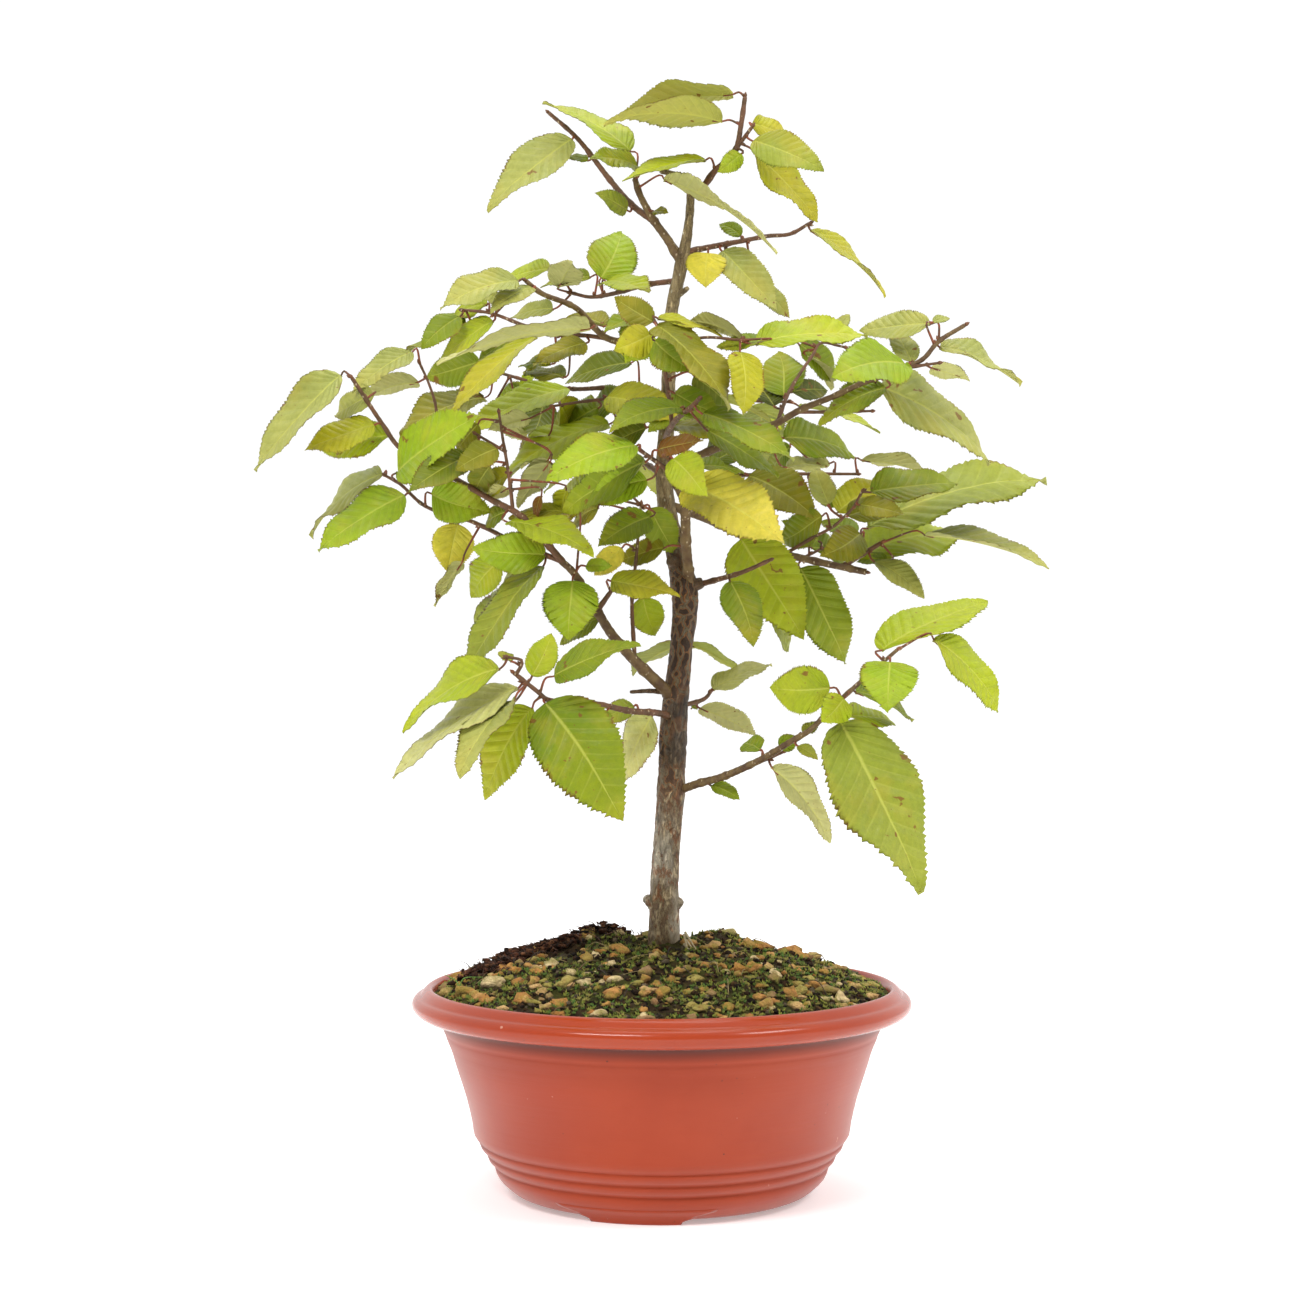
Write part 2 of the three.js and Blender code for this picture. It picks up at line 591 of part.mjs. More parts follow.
// A leaf as wide as it looks: it is turned about its rib, or leans in depth, by what its
// seen width lacks or has over a full leaf's
function seenLeaf(stems, leaf) {
  const [baseAcross, baseDown, tipAcross, tipDown, seenWidth, hang = {}] = leaf;
  const root = nearestWood(stems, leaf);
  const lean = hang.depth ?? 0;
  const base = place([baseAcross, baseDown, root.y + lean * leanAtBase]);
  const tip = place([tipAcross, tipDown, root.y + lean]);
  const middle = base.clone().lerp(tip, 0.5);
  const along = tip.clone().sub(base).normalize();
  const length = base.distanceTo(tip);
  if (root.distanceTo(base) < shortestStalk) base.addScaledVector(along, shortestStalk);
  const seen = (seenWidth * (view.distance + middle.y)) / view.focal;
  const width = Math.max(seen, (hang.ratio ?? bladeRatio) * length);
  const turn = Math.acos(Math.min(1, seen / width));
  const eye = new THREE.Vector3(view.offset, -view.distance, view.height).sub(middle);
  const facing = eye.addScaledVector(along, -eye.dot(along)).normalize();
  const beside = along.clone().cross(facing);
  const upper = [1, -1]
    .map((side) => facing.clone().multiplyScalar(Math.cos(turn)).addScaledVector(beside, side * Math.sin(turn)))
    .map((face) => (hang.under ? face.negate() : face))
    .sort((a, b) => b.z - a.z)[0];
  return leafSolid({ root, base, tip, upper, width });
}

// Leaves in two ranks along a hidden branch
function rankedLeaves({ path, seed, leaves }) {
  const draw = seededDraw(seed);
  const curve = new THREE.CatmullRomCurve3(path.map(place));
  const solids = [];
  for (let i = 0; i < leaves; i += 1) {
    const along = hiddenRanks.first + (hiddenRanks.span * i) / (leaves - 1);
    const root = curve.getPointAt(along);
    const ahead = curve.getTangentAt(along);
    const beside = ahead.clone().cross(new THREE.Vector3(0, 0, 1)).normalize();
    const rank = i % 2 === 0 ? 1 : -1;
    const length = THREE.MathUtils.lerp(hiddenLength[0], hiddenLength[1], draw());
    const way = ahead.clone().multiplyScalar(hiddenWay.ahead + hiddenWay.aheadRange * draw());
    way.addScaledVector(beside, rank * hiddenWay.beside);
    way.z = -hiddenWay.droop - hiddenWay.droopRange * draw();
    way.normalize();
    const base = root.clone().addScaledVector(way, hiddenStalk);
    const tip = base.clone().addScaledVector(way, length);
    const up = new THREE.Vector3(0, 0, 1);
    const upper = up.addScaledVector(way, -up.dot(way)).normalize();
    solids.push(leafSolid({ root, base, tip, upper, width: bladeRatio * length }));
  }
  return solids;
}

// The trunk, and the same trunk with room around it for what stands against it
function trunkSolid(room) {
  const curve = new THREE.CatmullRomCurve3(trunkLine.map(({ at }) => place(at)));
  const lengths = trunkLine.map((_, i) => i / (trunkLine.length - 1));
  const radiusAt = (along) => {
    const share = curve.getUtoTmapping(along) * (lengths.length - 1);
    const low = Math.min(Math.floor(share), trunkLine.length - 2);
    return THREE.MathUtils.lerp(trunkLine[low].radius, trunkLine[low + 1].radius, share - low) + room;
  };
  const stem = stick(curve, radiusAt, trunkSides, trunkSteps);
  const twigs = trunkTwigs.map(({ path, radius }) => stemSolid({ path, radius: radius.map((size) => size + room) }));
  return wasm.Manifold.union([stem, ...twigs]);
}

// The pot: one moulded shell with a rolled rim, three steps low on the wall and three feet
function potSolid() {
  const profile = [...potOutside, ...potInside].map(([radius, height]) => new THREE.Vector2(radius, height));
  const shell = new THREE.LatheGeometry(profile, potSides);
  shell.rotateX(Math.PI / 2);
  let pot = toSolid(shell);
  for (let i = 0; i < foot.count; i += 1) {
    pot = pot.add(footBand(THREE.MathUtils.degToRad(foot.firstTurn + (360 * i) / foot.count)));
  }
  for (let i = 0; i < drain.count; i += 1) {
    const hole = new THREE.CylinderGeometry(drain.radius, drain.radius, drain.length, drain.sides);
    hole.rotateX(Math.PI / 2);
    const turn = (2 * Math.PI * (i + 0.5)) / drain.count;
    hole.translate(drain.fromAxis * Math.cos(turn), drain.fromAxis * Math.sin(turn), drain.middle);
    pot = pot.subtract(toSolid(hole));
  }
  return pot;
}

// A foot: a low band of a ring, from the floor up into the pot's skirt
function footBand(turn) {
  const half = THREE.MathUtils.degToRad(foot.halfAngle);
  const band = new THREE.Shape();
  band.absarc(0, 0, foot.outer, turn - half, turn + half, false);
  band.absarc(0, 0, foot.inner, turn + half, turn - half, true);
  return toSolid(new THREE.ExtrudeGeometry(band, { depth: foot.top, bevelEnabled: false, curveSegments: 2 }));
}

// Height of the soil's surface: a mound up to the trunk, with two humps beside it and a soft
// ripple of a millimetre or so that dies away at the edge
function soilHeight(x, y) {
  const share = Math.min(1, Math.hypot(x, y) / soilRadius);
  const ripple = 0.9 * Math.sin(x / 7.3 + 1) * Math.cos(y / 6.1) + 0.5 * Math.sin(x / 3.9 - y / 4.7);
  const mound = soilEdge + soilRise * (1 - share ** 2) + ripple * (1 - share ** 6);
  return humps.reduce(
    (height, hump) => height + hump.high * Math.exp(-((x - hump.x) ** 2 + (y - hump.y) ** 2) / hump.wide ** 2),
    mound,
  );
}

// The soil: it fills the pot, and its surface carries rounded grains, larger than life
function soilSolid(trunkRoom) {
  const wall = potInside.map(([radius, height]) => [Math.max(0, radius - soilInset), height + gap]).reverse();
  const surface = [...soilRings, 0].map((radius) => [radius, potHeight]);
  const profile = [...wall, ...surface].map(([radius, height]) => new THREE.Vector2(radius, height));
  const body = new THREE.LatheGeometry(profile, potSides);
  body.rotateX(Math.PI / 2);
  const position = body.attributes.position;
  for (let i = 0; i < position.count; i += 1) {
    if (position.getZ(i) > potHeight - flush) position.setZ(i, soilHeight(position.getX(i), position.getY(i)));
  }
  const draw = seededDraw(grains.seed);
  const stones = [];
  for (let i = 0; i < grains.count; i += 1) {
    const far = grains.nearest + grains.spread * Math.sqrt((i + 0.5) / grains.count);
    const stone = new THREE.IcosahedronGeometry(grains.smallest + grains.range * draw(), 0);
    stone.scale(1, grainShape.narrowest + grainShape.range * draw(), grainShape.flat);
    stone.rotateZ(Math.PI * draw());
    const [x, y] = [far * Math.cos(i * grains.turn), far * Math.sin(i * grains.turn)];
    stone.translate(x, y, soilHeight(x, y) + grains.lift);
    stones.push(toSolid(stone));
  }
  return wasm.Manifold.union([toSolid(body), ...stones]).subtract(trunkRoom);
}

// The whole plant, piece by piece
function bonsai() {
  const group = new THREE.Group();
  const trunkRoom = trunkSolid(gap);
  group.add(toMesh('pot', potSolid(), finishes.pot));
  group.add(toMesh('soil', soilSolid(trunkRoom), finishes.soil));
  group.add(toMesh('trunk', trunkSolid(0), finishes.bark));
  for (const [name, { stems, leaves }] of Object.entries(branches)) {
    const parts = [...stems.map(stemSolid), ...leaves.map((leaf) => seenLeaf(stems, leaf))];
    const whole = wasm.Manifold.union(parts).subtract(trunkRoom);
    group.add(toMesh(name, whole, finishes.leaf));
  }
  for (const [name, branch] of Object.entries(hiddenBranches)) {
    const parts = [stemSolid({ path: branch.path, radius: hiddenRadius }), ...rankedLeaves(branch)];
    const whole = wasm.Manifold.union(parts).subtract(trunkRoom);
    group.add(toMesh(name, whole, finishes.leaf));
  }
  return group;
}

export default bonsai();
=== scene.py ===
# %% [markdown]
# # A Korean hornbeam bonsai in its training pot
# The plant is a young Korean hornbeam: one slim upright trunk, thin side branches and leaves with
# saw-toothed edges and straight side veins. It stands in a mound of peat, pumice and moss in a
# round terracotta coloured plastic pot. The solids of the frame already hold every piece at its
# real place, so this scene remakes each of them finer, in the same place, and gives it its finish.

# %% Load the frame
import math
import random

import bmesh
import bpy
from mathutils import Matrix, Vector, noise


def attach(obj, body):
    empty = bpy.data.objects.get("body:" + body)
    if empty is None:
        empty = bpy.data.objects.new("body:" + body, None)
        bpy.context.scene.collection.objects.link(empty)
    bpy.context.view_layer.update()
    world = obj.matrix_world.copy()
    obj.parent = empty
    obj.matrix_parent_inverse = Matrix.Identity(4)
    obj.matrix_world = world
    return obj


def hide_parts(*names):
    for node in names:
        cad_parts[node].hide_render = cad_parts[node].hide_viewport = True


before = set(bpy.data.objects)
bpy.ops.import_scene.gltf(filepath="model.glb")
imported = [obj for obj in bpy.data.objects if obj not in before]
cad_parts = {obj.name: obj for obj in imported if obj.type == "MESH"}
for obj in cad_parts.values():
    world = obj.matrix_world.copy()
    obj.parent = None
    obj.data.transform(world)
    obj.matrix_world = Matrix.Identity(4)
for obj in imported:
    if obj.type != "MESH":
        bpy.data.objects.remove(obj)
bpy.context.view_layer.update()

print("nodes in the frame:", len(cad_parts))

# %% [markdown]
# ## The camera
# The plant was seen by a level camera at the height of its crown, just under a metre away. A long
# lens keeps the trunk upright and the pot's rim a thin ellipse. Every place on the tree below was
# read in this camera's frame, so a place is written as how far across and how far down the frame
# it is, and how deep it lies behind the trunk. One small function turns that into millimetres.

# %% The camera and the places in its frame
MM = 0.001
FRAME_SIZE = 1300
SENSOR = 36.0
FARTHEST_SEEN = 20
VIEW_DISTANCE = 984.0
VIEW_HEIGHT = 217.0
VIEW_FOCAL = 2450.0
VIEW_CENTRE = 650.0
VIEW_OFFSET = -4.7


def place(across, down, depth=0.0):
    """A place in the camera's frame, at a depth behind the pot's axis, in millimetres."""
    scale = (VIEW_DISTANCE + depth) / VIEW_FOCAL
    return Vector(((across - VIEW_CENTRE) * scale + VIEW_OFFSET, depth,
                   VIEW_HEIGHT - (down - VIEW_CENTRE) * scale))


def seen_from(point):
    """Where the camera sees a point, across and down its frame."""
    scale = (VIEW_DISTANCE + point.y) / VIEW_FOCAL
    return Vector(((point.x - VIEW_OFFSET) / scale + VIEW_CENTRE,
                   (VIEW_HEIGHT - point.z) / scale + VIEW_CENTRE))


camera_data = bpy.data.cameras.new("camera")
camera_data.sensor_width = SENSOR
camera_data.lens = VIEW_FOCAL / FRAME_SIZE * SENSOR
camera_data.clip_end = FARTHEST_SEEN
camera = bpy.data.objects.new("camera", camera_data)
camera.location = Vector((VIEW_OFFSET, -VIEW_DISTANCE, VIEW_HEIGHT)) * MM
camera.rotation_euler = (math.pi / 2, 0, 0)
bpy.context.collection.objects.link(camera)
bpy.context.scene.camera = camera
print("lens:", round(camera_data.lens, 2), "mm")

# %% [markdown]
# ## Smooth paths
# Stems bend smoothly from place to place. A Catmull-Rom curve passes through all of its places and
# needs no handles, which suits places that were read off one by one. The path also knows how long it
# is, so rings and buds can be set along it at even steps.

# %% A path through places
SPAN_STEPS = 24
LEAST_GAP = 1e-4
LEAST_SPAN = 1e-9
LOOK_AHEAD = 0.01


class Path:
    """A smooth curve through its places, followed by a share of its length."""

    def __init__(self, places):
        knots = [places[0] * 2 - places[1], *places, places[-1] * 2 - places[-2]]
        self.points = []
        for first, start, end, last in zip(knots, knots[1:], knots[2:], knots[3:]):
            before, between, after = (math.sqrt(max((b - a).length, LEAST_GAP))
                                      for a, b in ((first, start), (start, end), (end, last)))
            leave = (start - first) / before - (end - first) / (before + between) + (end - start) / between
            arrive = (end - start) / between - (last - start) / (between + after) + (last - end) / after
            leave, arrive = leave * between, arrive * between
            for step in range(SPAN_STEPS):
                t = step / SPAN_STEPS
                self.points.append(start + leave * t + (-3 * start + 3 * end - 2 * leave - arrive) * t ** 2
                                   + (2 * start - 2 * end + leave + arrive) * t ** 3)
        self.points.append(places[-1].copy())
        self.travelled = [0.0]
        for start, end in zip(self.points, self.points[1:]):
            self.travelled.append(self.travelled[-1] + (end - start).length)
        self.length = self.travelled[-1]

    def step_at(self, share):
        """The curve's step at a share of its length, with what is left over as a fraction."""
        reach = min(max(share, 0.0), 1.0) * self.length
        low, high = 0, len(self.travelled) - 1
        while high - low > 1:
            middle = (low + high) // 2
            low, high = (middle, high) if self.travelled[middle] <= reach else (low, middle)
        span = self.travelled[high] - self.travelled[low]
        return low + (reach - self.travelled[low]) / max(span, LEAST_SPAN)

    def at(self, share):
        """The place at a share of the length."""
        step = self.step_at(share)
        low = min(int(step), len(self.points) - 2)
        return self.points[low].lerp(self.points[low + 1], step - low)

    def ahead(self, share):
        """The way the curve heads there."""
        return (self.at(share + LOOK_AHEAD) - self.at(share - LOOK_AHEAD)).normalized()


print("a path of two places is", round(Path([place(650, 650), place(650, 400)]).length, 1), "mm long")

# %% [markdown]
# ## Tubes
# Twigs, stalks, roots and straws are all tubes whose width changes along the way. Blender's curve
# objects could bevel them, but bark needs its own width at every point round and along. So a flat
# grid is made and rolled up: each row of it becomes a ring round the path, each ring keeps the
# twist of the one before it, and the seam is welded. A first and last row of no width close it.

# %% Roll a grid into a tube
TUBE_WELD = 1e-4


def mapped_bmesh():
    """An empty bmesh with a map, which every shape of a piece carries."""
    shape = bmesh.new()
    shape.loops.layers.uv.new("UVMap")
    return shape


def ring_frames(path, shares):
    """A centre and two crosswise directions for each ring, with no twist from ring to ring."""
    ahead = path.ahead(shares[0])
    side = ahead.orthogonal().normalized()
    frames = []
    for share in shares:
        turn = ahead.rotation_difference(path.ahead(share))
        side = turn @ side
        ahead = path.ahead(share)
        side = (side - ahead * side.dot(ahead)).normalized()
        frames.append((path.at(share), side, ahead.cross(side)))
    return frames


def roll_tube(path, shares, sides, radius_at):
    """A closed tube round the path; radius_at(ring, angle) gives its width in millimetres."""
    tube = mapped_bmesh()
    rings = len(shares) - 1
    bmesh.ops.create_grid(tube, x_segments=sides, y_segments=rings, size=0.5, calc_uvs=True)
    frames = ring_frames(path, shares)
    for vert in tube.verts:
        angle = (vert.co.x + 0.5) * math.tau
        ring = round((vert.co.y + 0.5) * rings)
        centre, side, up = frames[ring]
        vert.co = centre + (side * math.cos(angle) + up * math.sin(angle)) * radius_at(ring, angle)
    bmesh.ops.remove_doubles(tube, verts=tube.verts, dist=TUBE_WELD)
    return tube


def closed_tube(path, rings, sides, radius_at):
    """A tube of even steps, closed at both ends; its rings are counted from 0 at the start."""
    shares = [0.0] + [ring / rings for ring in range(rings + 1)] + [1.0]

    def radius_or_end(ring, angle):
        return 0.0 if ring in (0, rings + 2) else radius_at(ring - 1, angle)

    return roll_tube(path, shares, sides, radius_or_end)


sample = closed_tube(Path([place(650, 650), place(650, 400)]), 10, 8, lambda ring, angle: 2.0)
print("a tube of 10 steps and 8 sides has", len(sample.faces), "faces")
sample.free()

# %% [markdown]
# ## Joining shapes into a piece
# A branch is made of many small shapes. Each is added to one bmesh, which then becomes one mesh
# object: it is scaled from millimetres to metres, its faces are turned outwards, and it is told
# which body it rides on, which node of the frame it stands for and which finish it takes.

# %% Pieces of the finished object
COLOUR_LAYERS = ("tint", "tip")


def add_shape(piece, shape, tints=None):
    """Adds a shape to a piece, with one colour attribute per named tint, and frees the shape."""
    for name, tint in (tints or {}).items():
        layer = shape.verts.layers.float_color.get(name) or shape.verts.layers.float_color.new(name)
        for vert in shape.verts:
            vert[layer] = tint
    for face in shape.faces:
        face.smooth = True
    held = bpy.data.meshes.new("held")
    shape.to_mesh(held)
    shape.free()
    piece.from_mesh(held)
    bpy.data.meshes.remove(held)


def new_piece():
    """An empty bmesh with the layers that every shape of a piece may fill."""
    piece = mapped_bmesh()
    for name in COLOUR_LAYERS:
        piece.verts.layers.float_color.new(name)
    return piece


def finish_piece(piece, name, materials, nodes=(), body="root"):
    """Turns a bmesh in millimetres into an object of the scene, in metres."""
    bmesh.ops.recalc_face_normals(piece, faces=piece.faces)
    bmesh.ops.scale(piece, vec=(MM, MM, MM), verts=piece.verts)
    mesh = bpy.data.meshes.new(name)
    piece.to_mesh(mesh)
    piece.free()
    for material in materials:
        mesh.materials.append(material)
    made = bpy.data.objects.new(name, mesh)
    bpy.context.collection.objects.link(made)
    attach(made, body)
    if nodes:
        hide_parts(*nodes)
    print(f"{name}: {len(mesh.polygons)} faces")


print("each vertex of a piece may hold these colours:", ", ".join(COLOUR_LAYERS))

# %% [markdown]
# ## Finishes
# Every finish is a small network of Blender's own textures, read from each piece's Object
# coordinates, so the pattern stays in place from every side. One helper makes the material with
# its shader, and one adds a node and links what feeds it. The Mix node has sockets for numbers,
# vectors and colours, and several share a name, so its colour sockets are taken by their number.

# %% Helpers for materials
MIX_SOCKETS = (0, 6, 7)
MIX_RESULT = 2


def colour(red, green, blue):
    """A colour as seen on a screen, from 0 to 255, as the shader takes it."""
    return tuple(((value / 255 + 0.055) / 1.055) ** 2.4 if value > 10 else value / 255 / 12.92
                 for value in (red, green, blue)) + (1.0,)


def new_finish(name, roughness, **sockets):
    """A material with its shader, whose even values are set on the shader's own sockets."""
    material = bpy.data.materials.new(name)
    material.use_nodes = True
    shader = material.node_tree.nodes["Principled BSDF"]
    shader.inputs["Roughness"].default_value = roughness
    for socket, value in sockets.items():
        shader.inputs[socket.replace("_", " ")].default_value = value
    return material, material.node_tree, shader


def add_node(tree, kind, values=None, feeds=None, **settings):
    """A node of the tree, with its settings, its sockets' values and what feeds them."""
    node = tree.nodes.new(kind)
    for setting, value in settings.items():
        setattr(node, setting, value)
    for socket, value in (values or {}).items():
        node.inputs[socket].default_value = value
    for socket, source in (feeds or {}).items():
        tree.links.new(source, node.inputs[socket])
    return node


def object_places(tree):
    """Where a point of the finished object is, in metres."""
    return add_node(tree, "ShaderNodeTexCoord").outputs["Object"]


def part_of(tree, vector, axis):
    """One part of a vector, such as the height of a place."""
    return add_node(tree, "ShaderNodeSeparateXYZ", feeds={"Vector": vector}).outputs[axis]


def spread(tree, value, low, high, start=0.0, end=1.0):
    """A value's range from low to high as start to end."""
    return add_node(tree, "ShaderNodeMapRange",
                    {"From Min": low, "From Max": high, "To Min": start, "To Max": end},
                    {"Value": value}).outputs["Result"]


def cloudy(tree, places, scale, detail=3.0, roughness=0.5, low=0.35, high=0.65):
    """Soft cloudy patches from 0 to 1."""
    patches = add_node(tree, "ShaderNodeTexNoise",
                       {"Scale": scale, "Detail": detail, "Roughness": roughness}, {"Vector": places})
    return spread(tree, patches.outputs["Fac"], low, high)


def stretched(tree, places, across, along):
    """Places with their own scale across and along the height, for rings and for grain."""
    return add_node(tree, "ShaderNodeMapping", {"Scale": (across, across, along)},
                    {"Vector": places}).outputs["Vector"]


def streaky(tree, places, across, along, **look):
    """Cloudy patches with their own scale across and along the height."""
    return cloudy(tree, stretched(tree, places, across, along), 1.0, **look)


def combine(tree, operation, *values):
    """The sum, the least or another result of one or two values; each may be a plain number."""
    node = add_node(tree, "ShaderNodeMath", operation=operation)
    for socket, value in zip(node.inputs, values):
        if isinstance(value, (int, float)):
            socket.default_value = value
        else:
            tree.links.new(value, socket)
    return node.outputs["Value"]


def times(tree, first, second):
    """The product of two values, such as a pattern and its strength."""
    return combine(tree, "MULTIPLY", first, second)


def mixed(tree, factor, first, second):
    """Two colours mixed by a factor; each may be a plain colour or another node's."""
    node = add_node(tree, "ShaderNodeMix", data_type="RGBA")
    for socket, value in zip(MIX_SOCKETS, (factor, first, second)):
        if isinstance(value, (int, float, tuple)):
            node.inputs[socket].default_value = value
        else:
            tree.links.new(value, node.inputs[socket])
    return node.outputs[MIX_RESULT]


def stained(tree, base, pattern, strength, stain):
    """A colour with a stain over it where a pattern shows, up to a strength."""
    return mixed(tree, times(tree, pattern, strength), base, stain)


def bump(tree, shader, height, distance, strength=1.0):
    """Fine relief under the shader's light, in metres of height."""
    relief = add_node(tree, "ShaderNodeBump", {"Strength": strength, "Distance": distance},
                      {"Height": height})
    tree.links.new(relief.outputs["Normal"], shader.inputs["Normal"])


def attribute(tree, name):
    """A colour that each vertex of a piece holds for itself."""
    return add_node(tree, "ShaderNodeAttribute", attribute_name=name).outputs["Color"]


print("a mid terracotta is", [round(value, 3) for value in colour(190, 88, 52)])

# %% [markdown]
# ## The pot
# A plastic training pot is moulded in one piece: a thin tapered wall, a rolled rim that stiffens
# it, three ledges low on the wall and three shallow feet. Everything but the feet is the same all
# the way round, so its section is drawn as one line and spun in a full turn, like clay on a wheel.

# %% The pot's section, spun
POT_SECTION = [
    (0, 3.4), (54, 3.4), (54.7, 3.0), (55.2, 1.7), (58.2, 1.6), (60.2, 2.4), (62.0, 3.8),
    (64.2, 5.8), (65.6, 7.4), (66.4, 9.0), (66.9, 10.9), (66.5, 11.3), (66.6, 11.8), (68.0, 12.9),
    (69.3, 14.2), (69.9, 15.7), (69.5, 16.1), (69.6, 16.6), (71.0, 17.7), (72.4, 19.2), (73.0, 20.7),
    (72.6, 21.1), (72.8, 21.6), (74.2, 22.8), (75.2, 24.4), (75.5, 26), (76.0, 29.5), (77.1, 34.4),
    (78.3, 39.2), (79.8, 44), (81.4, 48.8), (82.9, 53.6), (83.8, 56.8), (84.5, 58.6), (84.6, 59),
    (85.4, 60.8), (86.2, 62.8), (86.5, 63.8), (86.5, 64.2), (87.1, 65.2), (87.7, 66.6), (88.1, 68.4),
    (88.6, 70.4), (89.8, 71.4), (94.6, 71.5), (96.0, 71.8), (97.4, 72.5), (98.8, 73.6), (99.8, 75.2),
    (99.9, 76.6), (99.4, 77.9), (98.5, 78.9), (97.5, 79.4), (96.7, 79.6), (96.3, 80.1), (95.6, 81.1),
    (94.6, 82.1), (93.5, 82.8), (92.5, 82.8), (91.8, 82.2), (91.0, 80.6), (89.6, 78), (86.3, 66),
    (82.4, 58), (77.8, 44), (73.0, 23.6), (58, 6), (0, 6),
]
POT_STEPS = 168
SPIN_WELD = 1e-3


def spun(section, steps):
    """A section of (radius, height) places, spun in a full turn round the pot's axis."""
    shape = bmesh.new()
    line = [shape.verts.new((radius, 0, height)) for radius, height in section]
    edges = [shape.edges.new(pair) for pair in zip(line, line[1:])]
    bmesh.ops.spin(shape, geom=line + edges, cent=(0, 0, 0), axis=(0, 0, 1), angle=math.tau,
                   steps=steps, use_merge=True)
    bmesh.ops.remove_doubles(shape, verts=shape.verts, dist=SPIN_WELD)
    return shape


pot = new_piece()
add_shape(pot, spun(POT_SECTION, POT_STEPS))
print("the pot's wall has", len(pot.faces), "faces")

# %% [markdown]
# The pot stands on three arcs that carry its skirt down to the floor. Each is a small curved plate,
# cut back at its ends in two slanting steps, so it is wider at the top than at the pad it stands
# on. Each row of the list is a height, a radius and half the arc in degrees. A flat grid is bent
# round the axis row by row and given its thickness.

# %% The three feet
FOOT_COUNT = 3
FOOT_TURN = math.radians(-100)
FOOT_ROWS = [(6.4, 64.9, 29), (5.2, 63.8, 28.4), (4.0, 62.5, 24.6), (3.5, 62.1, 22.2), (2.6, 61.4, 21.4),
             (1.7, 60.9, 18.4), (1.2, 60.7, 17.2), (0.3, 60.5, 16.8), (0, 60.1, 16.6)]
FOOT_COLUMNS = 24
FOOT_DEPTH = 4.4
for foot in range(FOOT_COUNT):
    plate = mapped_bmesh()
    bmesh.ops.create_grid(plate, x_segments=FOOT_COLUMNS, y_segments=len(FOOT_ROWS) - 1, size=0.5)
    for vert in plate.verts:
        height, radius, half = FOOT_ROWS[round((vert.co.y + 0.5) * (len(FOOT_ROWS) - 1))]
        angle = FOOT_TURN + math.tau * foot / FOOT_COUNT + 2 * vert.co.x * math.radians(half)
        vert.co = (radius * math.cos(angle), radius * math.sin(angle), height)
    bmesh.ops.recalc_face_normals(plate, faces=plate.faces)
    middle = plate.faces[:][len(plate.faces) // 2]
    inward = 1 if middle.normal.dot(middle.calc_center_median()) > 0 else -1
    bmesh.ops.solidify(plate, geom=plate.faces[:] + plate.edges[:] + plate.verts[:],
                       thickness=inward * FOOT_DEPTH)
    for vert in plate.verts:
        vert.co.z = max(vert.co.z, 0.0)
    add_shape(pot, plate)
print("feet:", FOOT_COUNT)

# %% [markdown]
# Moulded plastic is coloured all through, so its colour is nearly even. What makes it look real is
# its skin. The wall is satin with a dusty sheen. The rolled rim is polished by handling and mirrors
# the lamps, so the gloss goes up and the sheen goes down where the height passes the rim. Painted
# shade draws a dark line just under the rim. A faint cloudiness, scuffs and specks break up the rest.

# %% The plastic's finish
RIM_FROM = 0.069
RIM_TO = 0.072
# heights of the painted shade, a dark line just under the rim
UNDER_RIM_SHADE_FROM = (0.0655, 0.0705)
UNDER_RIM_SHADE_TO = (0.0716, 0.0724)
MOULD_RINGS = (24, 700)
terracotta, tree, shader = new_finish("terracotta_plastic", 0.4, IOR=1.46)
places = object_places(tree)
clouds = cloudy(tree, places, 24, detail=4)
scuffs = cloudy(tree, places, 260, detail=2, low=0.76, high=0.79)
specks = cloudy(tree, places, 420, detail=1, low=0.80, high=0.82)
bloom = cloudy(tree, places, 9, detail=6, roughness=0.65, low=0.5, high=0.85)
plastic = mixed(tree, clouds, colour(163, 58, 21), colour(156, 53, 19))
plastic = stained(tree, plastic, bloom, 0.08, colour(190, 112, 84))
plastic = stained(tree, plastic, scuffs, 0.5, colour(214, 168, 146))
plastic = stained(tree, plastic, specks, 0.8, colour(60, 38, 26))
up = part_of(tree, places, "Z")
# painted shade: a dark line just under the rim stands for the rim's shadow on the wall
under_rim_shade = times(tree, spread(tree, up, *UNDER_RIM_SHADE_FROM), spread(tree, up, *UNDER_RIM_SHADE_TO, 1.0, 0.0))
plastic = stained(tree, plastic, under_rim_shade, 0.85, colour(44, 15, 9))
tree.links.new(plastic, shader.inputs["Base Color"])
tree.links.new(spread(tree, up, RIM_FROM, RIM_TO, 0.28, 0.45), shader.inputs["Specular IOR Level"])
tree.links.new(spread(tree, up, RIM_FROM, RIM_TO, 0.3, 0.06), shader.inputs["Sheen Weight"])
satin = spread(tree, up, RIM_FROM, RIM_TO, 0.42, 0.17)
satin = combine(tree, "ADD", satin, times(tree, clouds, 0.05))
tree.links.new(satin, shader.inputs["Roughness"])
rings = streaky(tree, places, *MOULD_RINGS, detail=2, low=0.2, high=0.8)
bump(tree, shader, rings, 0.0001, 0.35)
finish_piece(pot, "pot_moulding", [terracotta], ["pot"])

# %% [markdown]
# ## The soil
# The root ball stands a little proud of the pot: a mound of peat and pumice that rises to the
# trunk, with two humps beside it and its edge just under the lip. A line of places from the middle
# outwards is spun, and a formula raises the surface. The same formula later tells every grain,
# tuft and straw how high the ground is under it.

# %% The height of the soil
SOIL_EDGE = 80.0
SOIL_RISE = 18.5
SOIL_RADIUS = 90.0
SOIL_REACH = 91.3
HUMPS = [((-27, 12), 4.5, 15), ((24, 16), 4, 13)]


def closeness(x, y, middle, wide):
    """1 at a middle on the ground, fading to 0 round it."""
    return math.exp(-((x - middle[0]) ** 2 + (y - middle[1]) ** 2) / wide ** 2)


